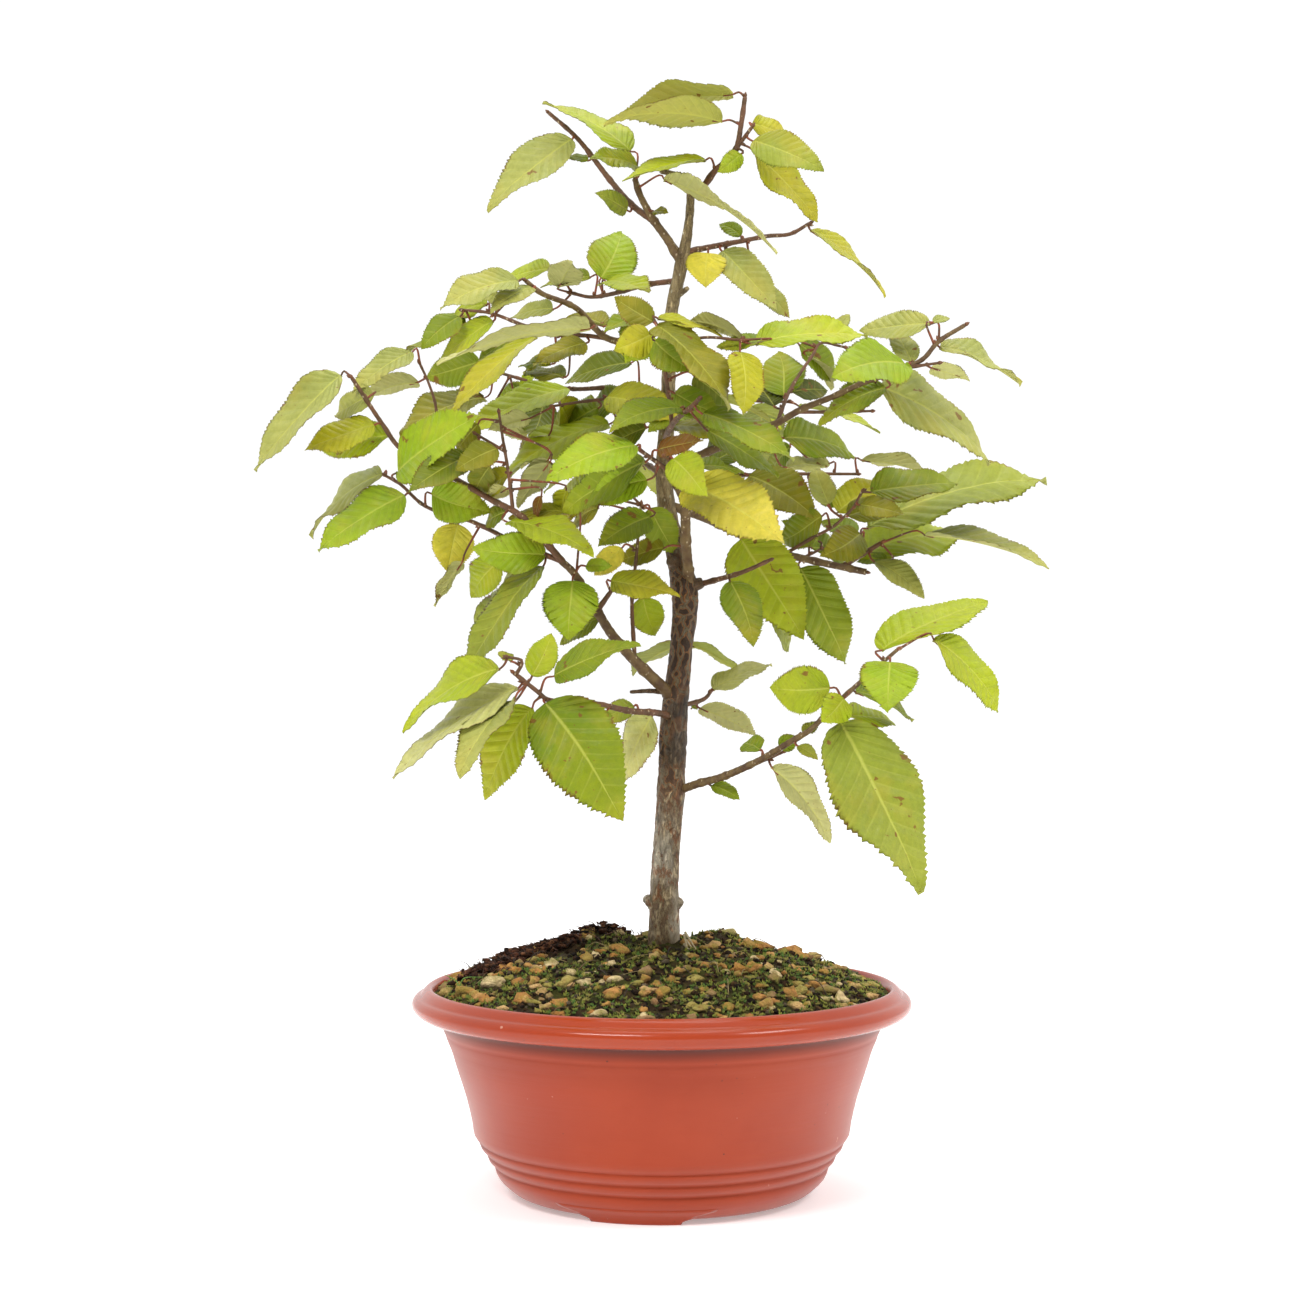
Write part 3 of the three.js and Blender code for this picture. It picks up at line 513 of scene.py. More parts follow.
def soil_height(x, y):
    """The smooth height of the mound, as the frame's solid has it."""
    share = min(1.0, math.hypot(x, y) / SOIL_RADIUS)
    mound = SOIL_EDGE + SOIL_RISE * (1 - share ** 2)
    for middle, high, wide in HUMPS:
        mound += high * closeness(x, y, middle, wide)
    ripple = 0.9 * math.sin(x / 7.3 + 1) * math.cos(y / 6.1) + 0.5 * math.sin(x / 3.9 - y / 4.7)
    return mound + ripple * (1 - share ** 6)


def soil_surface(x, y):
    """The mound with its clods and hollows."""
    place_on = Vector((x, y, 0))
    rough = 1.5 * noise.noise(place_on / 8.5) + 0.9 * noise.noise(place_on / 3.4 + Vector((5, 2, 1)))
    clods = 1.2 * abs(noise.noise(place_on / 5.2 + Vector((9, 4, 7))))
    fine = 0.5 * noise.noise(place_on / 1.7 + Vector((3, 8, 2)))
    return soil_height(x, y) + (rough + clods + fine) * (1 - 0.6 * (math.hypot(x, y) / SOIL_REACH) ** 6)


print("the soil stands", round(soil_height(0, 0), 1), "mm high in the middle")

# %% The body of the soil
SOIL_STEPS = 300
SOIL_RINGS = 96
ABOVE_ALL = SOIL_EDGE + 20
surface_line = [(SOIL_REACH * ring / SOIL_RINGS, ABOVE_ALL) for ring in range(SOIL_RINGS + 1)]
wall_line = [(89.1, 78.3), (85.8, 66.3), (81.9, 58.3), (77.3, 44.3), (72.5, 23.9), (57.5, 6.3), (0, 6.3)]
body = spun(surface_line + wall_line, SOIL_STEPS)
for vert in body.verts:
    if vert.co.z > ABOVE_ALL - 1:
        vert.co.z = soil_surface(vert.co.x, vert.co.y)
soil = new_piece()
add_shape(soil, body)
print("the soil's surface has", len(soil.faces), "faces")

# %% [markdown]
# The surface is dark, damp peat. Where it stays wettest it is nearly black, where it has dried it
# is brown, and where lime has settled it turns grey. A thin green film of algae and young moss
# covers parts of it. Noise at three sizes mixes these colours, and a strong fine bump breaks up the
# light.

# %% The finish of the peat
peat, tree, shader = new_finish("damp_peat", 0.9, Specular_IOR_Level=0.25)
places = object_places(tree)
wet = cloudy(tree, places, 150, detail=6, roughness=0.7)
film = cloudy(tree, places, 60, detail=6, roughness=0.7, low=0.46, high=0.58)
lime_film = cloudy(tree, places, 34, detail=5, low=0.64, high=0.7)
ground = mixed(tree, wet, colour(34, 24, 15), colour(92, 68, 42))
ground = stained(tree, ground, film, 0.8, colour(92, 96, 32))
ground = stained(tree, ground, lime_film, 0.5, colour(128, 124, 112))
tree.links.new(ground, shader.inputs["Base Color"])
bump(tree, shader, cloudy(tree, places, 800, detail=5, roughness=0.75, low=0.2, high=0.8), 0.0022)
finish_piece(soil, "soil_ground", [peat], ["soil"])

# %% [markdown]
# ## Grains, crumbs and moss
# Pumice grains of 2 to 10 mm, most of them tan or ochre, lie half sunk in the peat between dark
# crumbs. They are repeated hundreds of times, so a grain is only a rough lump of eighty faces and a
# crumb has twenty: an icosphere drawn out one way, with its corners pushed in and out. A seeded draw
# gives every one its own size, turn and colour, and the same scene comes out each time.

# %% One rough stone, and how shapes are strewn
GROUND_SEED = 41
GOLDEN_TURN = 2.39996


def rough_stone(draw, radius, flat, jitter, fine=1, drawn_out=1.0, lumps=0.45):
    """A stone with its corners pushed in and out, flattened as it lies."""
    stone = mapped_bmesh()
    bmesh.ops.create_icosphere(stone, subdivisions=fine, radius=radius)
    lump = Vector((draw.uniform(-9, 9), draw.uniform(-9, 9), draw.uniform(-9, 9)))
    for vert in stone.verts:
        vert.co *= 1 + lumps * noise.noise(vert.co / radius * 1.2 + lump) + jitter * (2 * draw.random() - 1)
    bmesh.ops.scale(stone, vec=(drawn_out, 0.75 + 0.25 * draw.random(), flat), verts=stone.verts)
    return stone


def lay(shape, draw, x, y, lift, tilt=0.4):
    """Turns a shape at random and sets it on the soil."""
    turn = Matrix.Rotation(draw.random() * math.tau, 4, "Z")
    tip = Matrix.Rotation(tilt * (draw.random() - 0.5), 4, "X")
    stand = Matrix.Translation((x, y, soil_surface(x, y) + lift))
    bmesh.ops.transform(shape, matrix=stand @ (turn @ tip), verts=shape.verts)


def spiral(count, start, reach):
    """Places spread evenly over the soil, from the trunk outwards."""
    for step in range(count):
        far = start + (reach - start) * math.sqrt((step + 0.5) / count)
        yield far * math.cos(step * GOLDEN_TURN), far * math.sin(step * GOLDEN_TURN)


sample = rough_stone(random.Random(1), 1.0, 0.8, jitter=0.2)
print("faces of a crumb:", len(sample.faces))
sample.free()

# %% Pumice grains
PUMICE_TINTS = [colour(206, 156, 92), colour(188, 134, 68), colour(212, 174, 116), colour(172, 120, 60),
                colour(224, 200, 150), colour(158, 126, 86), colour(172, 156, 84), colour(196, 142, 78)]
PUMICE_COUNT = 760
PUMICE_REACH = 87
PUMICE_BARE = -0.12
LARGE_SHARE = 0.2
draw = random.Random(GROUND_SEED)
grains = new_piece()
grains_laid = 0
for x, y in spiral(PUMICE_COUNT, 10, PUMICE_REACH):
    x, y = x + draw.uniform(-5, 5), y + draw.uniform(-5, 5)
    if noise.noise(Vector((x / 11, y / 11, 5))) < PUMICE_BARE:
        continue
    large = draw.random() < LARGE_SHARE
    radius = draw.uniform(2.4, 3.8) if large else draw.uniform(1.0, 2.4)
    flat, drawn_out = draw.uniform(0.6, 0.9), draw.uniform(0.9, 1.5)
    stone = rough_stone(draw, radius, flat, jitter=0.07, fine=2, drawn_out=drawn_out, lumps=0.8)
    far = math.hypot(x, y)
    if far > PUMICE_REACH:
        x, y = x * PUMICE_REACH / far, y * PUMICE_REACH / far
    lay(stone, draw, x, y, radius * draw.uniform(-0.15, 0.2))
    add_shape(grains, stone, {"tint": draw.choice(PUMICE_TINTS)})
    grains_laid += 1
print("grains of pumice:", grains_laid)

# %% [markdown]
# Pumice is a pale glass foam. Each grain keeps its own tint from an attribute, is stained darker in
# its pits, carries painted shade on the faces that turn downwards, and turns green where algae grow.
# It is matt and pitted, which a cell pattern gives.

# %% The finish of the pumice
pumice, tree, shader = new_finish("pumice", 0.85, Specular_IOR_Level=0.3)
places = object_places(tree)
stain = cloudy(tree, places, 330, detail=5, roughness=0.7, low=0.42, high=0.66)
algae = cloudy(tree, places, 120, detail=4, roughness=0.65, low=0.46, high=0.6)
stone_colour = stained(tree, attribute(tree, "tint"), stain, 0.6, colour(112, 72, 34))
stone_colour = stained(tree, stone_colour, algae, 0.6, colour(126, 124, 46))
# painted shade: the faces of a grain that turn sideways and down are darkened
facing_up = part_of(tree, add_node(tree, "ShaderNodeTexCoord").outputs["Normal"], "Z")
shaded_underside = spread(tree, facing_up, -0.2, 0.45, 1.0, 0.0)
stone_colour = stained(tree, stone_colour, shaded_underside, 0.75, colour(46, 36, 18))
tree.links.new(stone_colour, shader.inputs["Base Color"])
pits = add_node(tree, "ShaderNodeTexVoronoi", {"Scale": 1100.0}, {"Vector": places}).outputs["Distance"]
bump(tree, shader, pits, 0.0006, 0.9)
finish_piece(grains, "soil_pumice", [pumice], ["soil"])

# %% [markdown]
# Between the grains lie crumbs of peat and bark, from fine dust to lumps, and to the left of the
# trunk a matted clump of loose peat stands up. They are the same rough stones, dark and flatter.
# The clump is strewn round a few middles, thickest near each of them.

# %% Crumbs of peat
CRUMB_TINTS = [colour(58, 40, 27), colour(82, 58, 37), colour(42, 30, 22), colour(104, 76, 46),
               colour(120, 106, 84)]
CRUMB_COUNT = 2600
CLUMP_COUNT = 900
CLUMP_TINTS = [colour(118, 72, 52), colour(92, 56, 40), colour(140, 94, 64), colour(70, 44, 32)]
CLUMP_MIDDLES = [(-60, 24), (-46, 28), (-34, 24), (-22, 22), (-68, 10), (-50, 16), (-57, 0), (-42, 4),
                 (-69, -9)]
crumbs = new_piece()
for x, y in spiral(CRUMB_COUNT, 9, 89):
    x, y = x + draw.uniform(-2, 2), y + draw.uniform(-2, 2)
    crumb = rough_stone(draw, draw.uniform(0.5, 1.7), 0.7, jitter=0.35)
    lay(crumb, draw, x, y, 0.2, tilt=1.5)
    add_shape(crumbs, crumb, {"tint": draw.choice(CRUMB_TINTS)})
for step in range(CLUMP_COUNT):
    middle = CLUMP_MIDDLES[step % len(CLUMP_MIDDLES)]
    x, y = middle[0] + draw.gauss(0, 5), middle[1] + draw.gauss(0, 4)
    crumb = rough_stone(draw, draw.uniform(0.5, 1.5), 0.7, jitter=0.5, drawn_out=draw.uniform(1.2, 2.4))
    lay(crumb, draw, x, y, draw.uniform(0, 4.4), tilt=2.5)
    add_shape(crumbs, crumb, {"tint": draw.choice(CLUMP_TINTS)})
print("crumbs:", CRUMB_COUNT + CLUMP_COUNT)

# %% The finish of the crumbs
crumb_finish, tree, shader = new_finish("peat_crumbs", 0.95, Specular_IOR_Level=0.2)
places = object_places(tree)
crumb_colour = mixed(tree, cloudy(tree, places, 400), attribute(tree, "tint"), colour(22, 16, 12))
tree.links.new(crumb_colour, shader.inputs["Base Color"])
bump(tree, shader, cloudy(tree, places, 1500, detail=4), 0.0006, 0.8)
finish_piece(crumbs, "soil_crumbs", [crumb_finish], ["soil"])

# %% [markdown]
# Moss grows as low feathery tufts. Seen from a step away a tuft is a dark cushion with bright
# points, so each is a handful of three sided cones that lean outwards, dark at the foot and bright
# at the tip. Tufts stand only where a slow noise says that the ground is mossy, which gives patches
# with soft borders, and where they are thickest they grow over the edges of the grains.

# %% Tufts of moss
MOSS_TINTS = [colour(120, 134, 34), colour(144, 152, 46), colour(94, 112, 30), colour(176, 176, 64),
              colour(146, 138, 54), colour(182, 164, 80), colour(84, 128, 38)]
MOSS_FOOT = colour(46, 54, 18)
MOSS_TRIES = 5600
MOSS_SHOOTS = 6
MOSS_REACH = 90.6
MOSS_BARE = -0.22
MOSSY_PATCHES = [(-8, -12, 9), (-30, -78, 12), (40, -60, 16), (-66, -26, 14), (70, -20, 14)]
CLUMP_WIDE = math.sqrt(90)


def moss_tuft(draw, size, tint):
    """A few short shoots that lean out from one foot."""
    tuft = mapped_bmesh()
    shade = tuft.verts.layers.float_color.new("tint")
    for step in range(MOSS_SHOOTS):
        tall = size * draw.uniform(0.7, 1.3)
        shoot = bmesh.ops.create_cone(tuft, segments=3, radius1=0.3 * size, radius2=0, depth=tall,
                                      cap_ends=True)["verts"]
        turn = Matrix.Rotation(math.tau * step / MOSS_SHOOTS, 4, "Z")
        lean = Matrix.Rotation(draw.uniform(0.1, 1.1), 4, "X")
        for vert in shoot:
            vert[shade] = tint if vert.co.z > 0 else MOSS_FOOT
        foot = Matrix.Translation((0, 0, tall / 2))
        bmesh.ops.transform(tuft, matrix=turn @ lean @ foot, verts=shoot)
    return tuft


moss = new_piece()
for x, y in spiral(MOSS_TRIES, 8, 90):
    x, y = x + draw.uniform(-1.8, 1.8), y + draw.uniform(-1.8, 1.8)
    lush = noise.noise(Vector((x, y, 3)) / 15) + 0.6 * noise.noise(Vector((x, y, 8)) / 5)
    mossy = max(closeness(x, y, (a, b), wide) for a, b, wide in MOSSY_PATCHES)
    clump = max(closeness(x, y, middle, CLUMP_WIDE) for middle in CLUMP_MIDDLES)
    size = draw.uniform(0.9, 2.1)
    tint = draw.choice(MOSS_TINTS)
    turn = draw.random() * math.tau
    if lush + 0.6 * mossy - 0.9 * clump < MOSS_BARE or math.hypot(x, y) > MOSS_REACH:
        continue
    tuft = moss_tuft(draw, size, tint)
    stand = Matrix.Translation((x, y, soil_surface(x, y) - 0.1)) @ Matrix.Rotation(turn, 4, "Z")
    bmesh.ops.transform(tuft, matrix=stand, verts=tuft.verts)
    add_shape(moss, tuft)
moss_finish, tree, shader = new_finish("moss", 0.8)
patches = cloudy(tree, object_places(tree), 160)
tree.links.new(stained(tree, attribute(tree, "tint"), patches, 0.4, colour(84, 92, 26)),
               shader.inputs["Base Color"])
finish_piece(moss, "soil_moss", [moss_finish], ["soil"])

# %% [markdown]
# Dry straws and a shoot of grass lie over the mound, and dark fibres bristle from the clump of
# peat. At the trunk's foot, on the right, a few pale root ends come to the surface and run down into
# the peat. All of them are thin tubes along short arcs, with few faces each.

# %% Straws and fibres
STRAW_COUNT = 70
STRAW_REACH = 89
STRAW_TINTS = [colour(122, 98, 58), colour(70, 50, 34), colour(46, 34, 24), colour(158, 140, 92)]
FIBRE_COUNT = 720
FIBRE_TINTS = [colour(84, 50, 34), colour(60, 37, 26), colour(112, 72, 46), colour(46, 30, 22)]


def thread(places, start_width, end_width, sides=4, rings=8):
    """A thin tapering tube through a few places."""
    return closed_tube(Path(places), rings, sides,
                       lambda ring, angle: start_width + (end_width - start_width) * ring / rings)


threads = new_piece()
for x, y in spiral(STRAW_COUNT, 12, 86):
    turn, length = draw.random() * math.tau, draw.uniform(6, 17)
    ahead = Vector((math.cos(turn), math.sin(turn), 0)) * length
    start = Vector((x, y, 0))
    bend = start + ahead * 0.5 + Vector((draw.uniform(-2, 2), draw.uniform(-2, 2), 0))
    arc = [start, bend, start + ahead]
    if any(math.hypot(point.x, point.y) > STRAW_REACH for point in arc):
        continue
    for point, lift in zip(arc, (0.4, draw.uniform(1.5, 4), draw.uniform(0.3, 3))):
        point.z = soil_surface(point.x, point.y) + lift
    add_shape(threads, thread(arc, 0.22, 0.12), {"tint": draw.choice(STRAW_TINTS)})
for step in range(FIBRE_COUNT):
    middle = CLUMP_MIDDLES[step % len(CLUMP_MIDDLES)]
    x, y = middle[0] + draw.gauss(0, 6), middle[1] + draw.gauss(0, 5)
    turn, length, steep = draw.random() * math.tau, draw.uniform(2.5, 7), draw.uniform(-0.1, 0.9)
    start = Vector((x, y, soil_surface(x, y) + 1.5))
    ahead = Vector((math.cos(turn), math.sin(turn), steep)) * length * 0.7
    bend = start + ahead * 0.5 + Vector((0, 0, draw.uniform(-0.5, 1.5)))
    add_shape(threads, thread([start, bend, start + ahead], 0.26, 0.1, sides=3, rings=4),
              {"tint": draw.choice(FIBRE_TINTS)})
print("faces of the straws and fibres:", len(threads.faces))

# %% Root ends and a shoot of grass
ROOT_TINT = colour(206, 188, 150)
ROOT_ENDS = [((685, 932), (692, 943), (698, 955)), ((684, 934), (687, 948), (686, 962)),
             ((686, 940), (693, 950), (701, 959)), ((684, 944), (688, 954), (690, 964)),
             ((664, 950), (666, 956), (664, 962))]
ROOT_DEPTH = -9.0
ROOT_LEAN = 3.0
GRASS_TINT = colour(126, 170, 74)
GRASS_BLADES = [((459, 992), (457, 982), (444, 974)), ((459, 992), (463, 979), (483, 977)),
                ((460, 996), (478, 997), (500, 999))]
GRASS_DEPTH = -20.0
for root_end in ROOT_ENDS:
    line = [place(*seen, ROOT_DEPTH - ROOT_LEAN * step) for step, seen in enumerate(root_end)]
    for point in line[1:]:
        point.z = max(point.z, soil_surface(point.x, point.y) + 0.3)
    add_shape(threads, thread(line, 0.5, 0.2, sides=6, rings=10), {"tint": ROOT_TINT})
for blade_line in GRASS_BLADES:
    line = [place(*seen, GRASS_DEPTH) for seen in blade_line]
    add_shape(threads, thread(line, 0.38, 0.12, rings=12), {"tint": GRASS_TINT})
fibre, tree, shader = new_finish("dry_fibre", 0.7)
patches = cloudy(tree, object_places(tree), 500)
tree.links.new(stained(tree, attribute(tree, "tint"), patches, 0.4, colour(60, 46, 28)),
               shader.inputs["Base Color"])
finish_piece(threads, "soil_threads", [fibre], ["soil"])

# %% [markdown]
# ## The trunk
# The trunk is the one upright stem. It is widest where roots spread from it, narrows in steps where
# it was pruned and a new shoot took over, and ends in a cut stub. The line and width are set at the
# same places as in the frame's solid. Its bark is real relief: long shallow furrows that cross in a
# diamond net, strongest halfway up the trunk, fading towards its foot and into the smooth young wood
# above, with a swelling at each old knot.

# %% The line of the trunk
TRUNK_LINE = [
    ((662, 1010, 0), 6.2), ((664, 935, 0), 6.5), ((664.5, 885, 0), 5.8), ((667, 840, 1), 5.5),
    ((671, 790, 2), 5.5), ((674, 720, 1), 5.4), ((681, 650, -1), 4.6), ((685, 600, -3), 5.2),
    ((678, 556, -2), 4.4), ((668, 516, 0), 3.8), ((664, 470, 2), 3.4), ((667, 420, 3), 3.2),
    ((669, 370, 2), 2.9), ((672, 310, 0), 2.7), ((682, 262, -2), 2.7), ((689, 222, -2), 1.9),
    ((691, 184, -2), 1.7),
]
TRUNK_TWIGS = [
    ([(691, 190, -2), (678, 176, -1), (660, 171, 0)], (1.4, 1.0)),
    ([(657, 909, 0), (645.5, 897, -2)], (2.6, 1.9)),
    ([(672, 908, 0), (681, 900, -2)], (2.8, 1.9)),
    ([(682, 590, -3), (703, 582, -4)], (3.2, 2.2)),
    ([(680, 566, -3), (670, 560, -9)], (2.6, 2.2)),
    ([(675, 694, 1), (652, 691, -4), (630, 692, -6)], (1.3, 0.7)),
    ([(674, 298, -1), (688, 288, -6)], (1.5, 1.0)),
]
KNOTS = [(181, 0.9, 5), (243, 1.3, 6), (255, 0.8, 6), (161, 0.9, 4), (290, 0.6, 4), (337, 0.5, 3),
         (372, 0.6, 3), (116, 0.5, 3), (201, 0.4, 3)]
trunk_path = Path([place(*at) for at, _ in TRUNK_LINE])
print("the trunk is", round(trunk_path.length), "mm long with", len(KNOTS), "old knots")

# %% The trunk's surface, rolled
TRUNK_RINGS = 300
TRUNK_SIDES = 44
TWIG_STUB_STEP = 0.8
TWIG_STUB_SIDES = 16
FURROW_WIDTH = 0.12
KNOT_SWELLING = 0.35
ROOT_HEIGHT = 92
BARK_INSET = 0.15


def bark_relief(point, girth):
    """Furrows and plates, in millimetres out from the wood, from the place and the trunk's width."""
    old = min(1.0, max(0.0, (girth - 2.6) / 2.4))
    old *= 0.3 + 0.7 * min(1.0, max(0.0, (point.z - 120) / 40))
    slanted = noise.noise(Vector((point.x * 0.34 + point.z * 0.06, point.y * 0.34, point.z * 0.09)))
    crossed = noise.noise(Vector((point.x * 0.34 - point.z * 0.06, point.y * 0.34, point.z * 0.09 + 9)))
    furrow = 0.9 * max(0.0, FURROW_WIDTH - min(abs(slanted), abs(crossed))) / FURROW_WIDTH
    flakes = noise.noise(Vector((point.x * 0.8, point.y * 0.8, point.z * 0.35)))
    return old * (0.3 - furrow) * 0.5 + 0.22 * flakes + 0.1 * noise.noise(point * 1.6)


def trunk_width(ring, angle):
    """Half the trunk's thickness at a ring, with its knots, its root flare and its bark."""
    step = trunk_path.step_at(ring / TRUNK_RINGS) / SPAN_STEPS
    low = min(int(step), len(TRUNK_LINE) - 2)
    girth = TRUNK_LINE[low][1] + (TRUNK_LINE[low + 1][1] - TRUNK_LINE[low][1]) * (step - low)
    centre = trunk_path.at(ring / TRUNK_RINGS)
    out = Vector((math.cos(angle), math.sin(angle), 0)) * girth
    knots = sum(high * math.exp(-((centre.z - at) / wide) ** 2) for at, high, wide in KNOTS)
    roots = 0.5 * max(0.0, 1 - max(0.0, centre.z - ROOT_HEIGHT) / 12) * math.cos(3 * angle + 1)
    return girth - BARK_INSET + KNOT_SWELLING * knots + roots + bark_relief(centre + out, girth)


def stub_shape(path, radius):
    """A cut stub or a bare twig of the trunk, with a rounded end and a ripple."""
    rings = max(10, round(path.length / TWIG_STUB_STEP))

    def width(ring, angle):
        share = ring / rings
        end = 0.8 if ring == rings else 1.0
        ripple = 1 + 0.05 * math.sin(share * 37 + angle * 2)
        return (radius[0] + (radius[1] - radius[0]) * share) * end * ripple

    return closed_tube(path, rings, TWIG_STUB_SIDES, width)


trunk = new_piece()
add_shape(trunk, closed_tube(trunk_path, TRUNK_RINGS, TRUNK_SIDES, trunk_width))
for line, radius in TRUNK_TWIGS:
    add_shape(trunk, stub_shape(Path([place(*at) for at in line]), radius))
print("the trunk has", len(trunk.faces), "faces")

# %% [markdown]
# Bark changes with age. Above the first branches it is olive-brown and smooth, with pale lenticels,
# the pores of young wood. Below them it splits into dark diamonds edged with orange-brown flakes,
# with a band of painted shade halfway up, and near the ground it weathers to a silvery grey that is
# laid on brightly, so part of it is a painted sheen. Height blends the three. Patterns stretched
# along the grain draw flakes and cracks, and small bright spots draw the lenticels.

# %% Heights on the trunk, and helpers for its bark
YOUNG_FROM = (0.25, 0.32)
# heights of the silvery weathering, which is partly a painted sheen
WEATHERING_AND_SHEEN_TO = (0.11, 0.19)
CRACKS_FROM = (0.12, 0.16)
SPLITS_FROM = (0.145, 0.17)
# heights of a band of painted shade halfway up the trunk
PAINTED_SHADE_FROM = (0.15, 0.175)
PAINTED_SHADE_TO = (0.265, 0.30)
MOIST_TO = (0.094, 0.106)


def lenticels(tree, places, scale):
    """Small pale dots, from 0 to 1."""
    dots = add_node(tree, "ShaderNodeTexVoronoi", {"Scale": 1.0, "Randomness": 0.9},
                    {"Vector": stretched(tree, places, scale, scale * 0.55)})
    return spread(tree, dots.outputs["Distance"], 0.14, 0.2, 1.0, 0.0)


def crack_net(tree, places, across, along, width):
    """Dark lines round cells that are stretched along the grain, from 0 to 1."""
    cells = add_node(tree, "ShaderNodeTexVoronoi", {"Scale": 1.0},
                     {"Vector": stretched(tree, places, across, along)}, feature="DISTANCE_TO_EDGE")
    return spread(tree, cells.outputs["Distance"], 0.25 * width, width, 1.0, 0.0)


def from_middle(tree, turn):
    """How far a turning value is from the middle of its turn: 0 there, 0.5 at its ends."""
    return combine(tree, "ABSOLUTE", combine(tree, "SUBTRACT", combine(tree, "FRACT", turn), 0.5))


print("bark turns young between", YOUNG_FROM[0], "and", YOUNG_FROM[1], "m above the floor")

# %% Old bark: flakes, silver with a painted sheen, rust and painted shade
bark, tree, shader = new_finish("trunk_bark", 0.58, Specular_IOR_Level=0.5)
places = object_places(tree)
height = part_of(tree, places, "Z")
flakes = streaky(tree, places, 420, 170, detail=6, roughness=0.75, low=0.43, high=0.57)
old_bark = mixed(tree, flakes, colour(112, 86, 56), colour(196, 172, 132))
# silvery weathering near the foot, laid on brightly so that part of it is a painted sheen
silver_and_sheen = streaky(tree, places, 110, 26, detail=4, low=0.45, high=0.62)
uneven = combine(tree, "ADD", height, times(tree, silver_and_sheen, -0.05))
weathering_and_sheen = spread(tree, uneven, *WEATHERING_AND_SHEEN_TO, 1.0, 0.25)
old_bark = stained(tree, old_bark, times(tree, silver_and_sheen, weathering_and_sheen), 0.85, colour(232, 220, 196))
rust = streaky(tree, places, 300, 150, detail=5, roughness=0.75, low=0.53, high=0.59)
old_bark = stained(tree, old_bark, rust, 0.75, colour(152, 90, 42))
# painted shade: a band of darker bark halfway up the trunk
painted_shade = times(tree, spread(tree, height, *PAINTED_SHADE_FROM), spread(tree, height, *PAINTED_SHADE_TO, 1.0, 0.0))
old_bark = stained(tree, old_bark, painted_shade, 0.8, colour(60, 41, 23))
moist = spread(tree, height, *MOIST_TO, 1.0, 0.0)
old_bark = stained(tree, old_bark, moist, 0.55, colour(132, 100, 58))
print("nodes in the bark so far:", len(tree.nodes))

# %% Old bark: cracks and hairlines
crack = times(tree, crack_net(tree, places, 260, 95, 0.16), cloudy(tree, places, 90, low=0.4, high=0.55))
hairline = times(tree, crack_net(tree, places, 700, 240, 0.14), 0.6)
crack = combine(tree, "MAXIMUM", crack, hairline)
crack = times(tree, crack, spread(tree, height, *CRACKS_FROM, 0.35, 1.0))
old_bark = stained(tree, old_bark, crack, 0.8, colour(44, 31, 22))
print("nodes in the bark so far:", len(tree.nodes))

# %% [markdown]
# The diamonds are laid out on the trunk's own map, which runs once round it and once along it. Two
# slanting sets of lines cross there, one leaning each way, and slow noise bends both. The further a
# place is from the nearest line of each set, the nearer it is to the middle of a diamond. So one
# value draws a dark heart, a rust-coloured rim round it and a pale ridge between the diamonds.

# %% Old bark: diamonds
LENSES_AROUND = 6.0
LENSES_ALONG = 27.0
sheet = add_node(tree, "ShaderNodeUVMap", uv_map="UVMap").outputs["UV"]
around = combine(tree, "ADD", times(tree, part_of(tree, sheet, "X"), LENSES_AROUND),
                 times(tree, cloudy(tree, places, 90), 0.6))
along = combine(tree, "ADD", times(tree, part_of(tree, sheet, "Y"), LENSES_ALONG),
                times(tree, cloudy(tree, places, 60), 1.4))
lens = combine(tree, "MAXIMUM", from_middle(tree, combine(tree, "ADD", around, along)),
               from_middle(tree, combine(tree, "SUBTRACT", around, along)))
split = times(tree, spread(tree, height, *SPLITS_FROM), cloudy(tree, places, 75, low=0.36, high=0.5))
ridge = times(tree, spread(tree, lens, 0.40, 0.47), split)
old_bark = stained(tree, old_bark, ridge, 0.5, colour(162, 144, 110))
lens_rim = times(tree, spread(tree, lens, 0.37, 0.42, 1.0, 0.0), split)
old_bark = stained(tree, old_bark, lens_rim, 0.75, colour(176, 118, 66))
lens_heart = times(tree, spread(tree, lens, 0.29, 0.35, 1.0, 0.0), split)
old_bark = stained(tree, old_bark, lens_heart, 0.9, colour(46, 32, 22))
print("nodes in the bark so far:", len(tree.nodes))

# %% Young bark, and the finished trunk
young_bark = mixed(tree, streaky(tree, places, 220, 70, detail=5), colour(122, 100, 62),
                   colour(190, 168, 122))
young_bark = stained(tree, young_bark, crack_net(tree, places, 420, 90, 0.1), 0.4, colour(78, 60, 36))
young_bark = stained(tree, young_bark, lenticels(tree, places, 420), 0.8, colour(214, 206, 176))
uneven = combine(tree, "ADD", height, times(tree, cloudy(tree, places, 30), 0.03))
age = spread(tree, uneven, *YOUNG_FROM, 1.0, 0.0)
tree.links.new(mixed(tree, age, young_bark, old_bark), shader.inputs["Base Color"])
hollows = times(tree, combine(tree, "MAXIMUM", crack, lens_heart), 1.4)
bump(tree, shader, combine(tree, "SUBTRACT", flakes, hollows), 0.0007)
finish_piece(trunk, "trunk_wood", [bark], ["trunk"])

# %% [markdown]
# ## One leaf
# A hornbeam leaf is oval with a drawn-out point. Straight veins run from the midrib to the edge,
# and each ends in a large tooth with smaller teeth behind it. The blade is pleated along the veins,
# folded at the midrib and arched towards its tip. To get all of this, a flat grid is laid out so
# that its rows follow the veins, six rows to a vein. Then every point is moved by formula. Half of
# the grid's columns make the upper face and half the lower, so the leaf is a closed thin body.

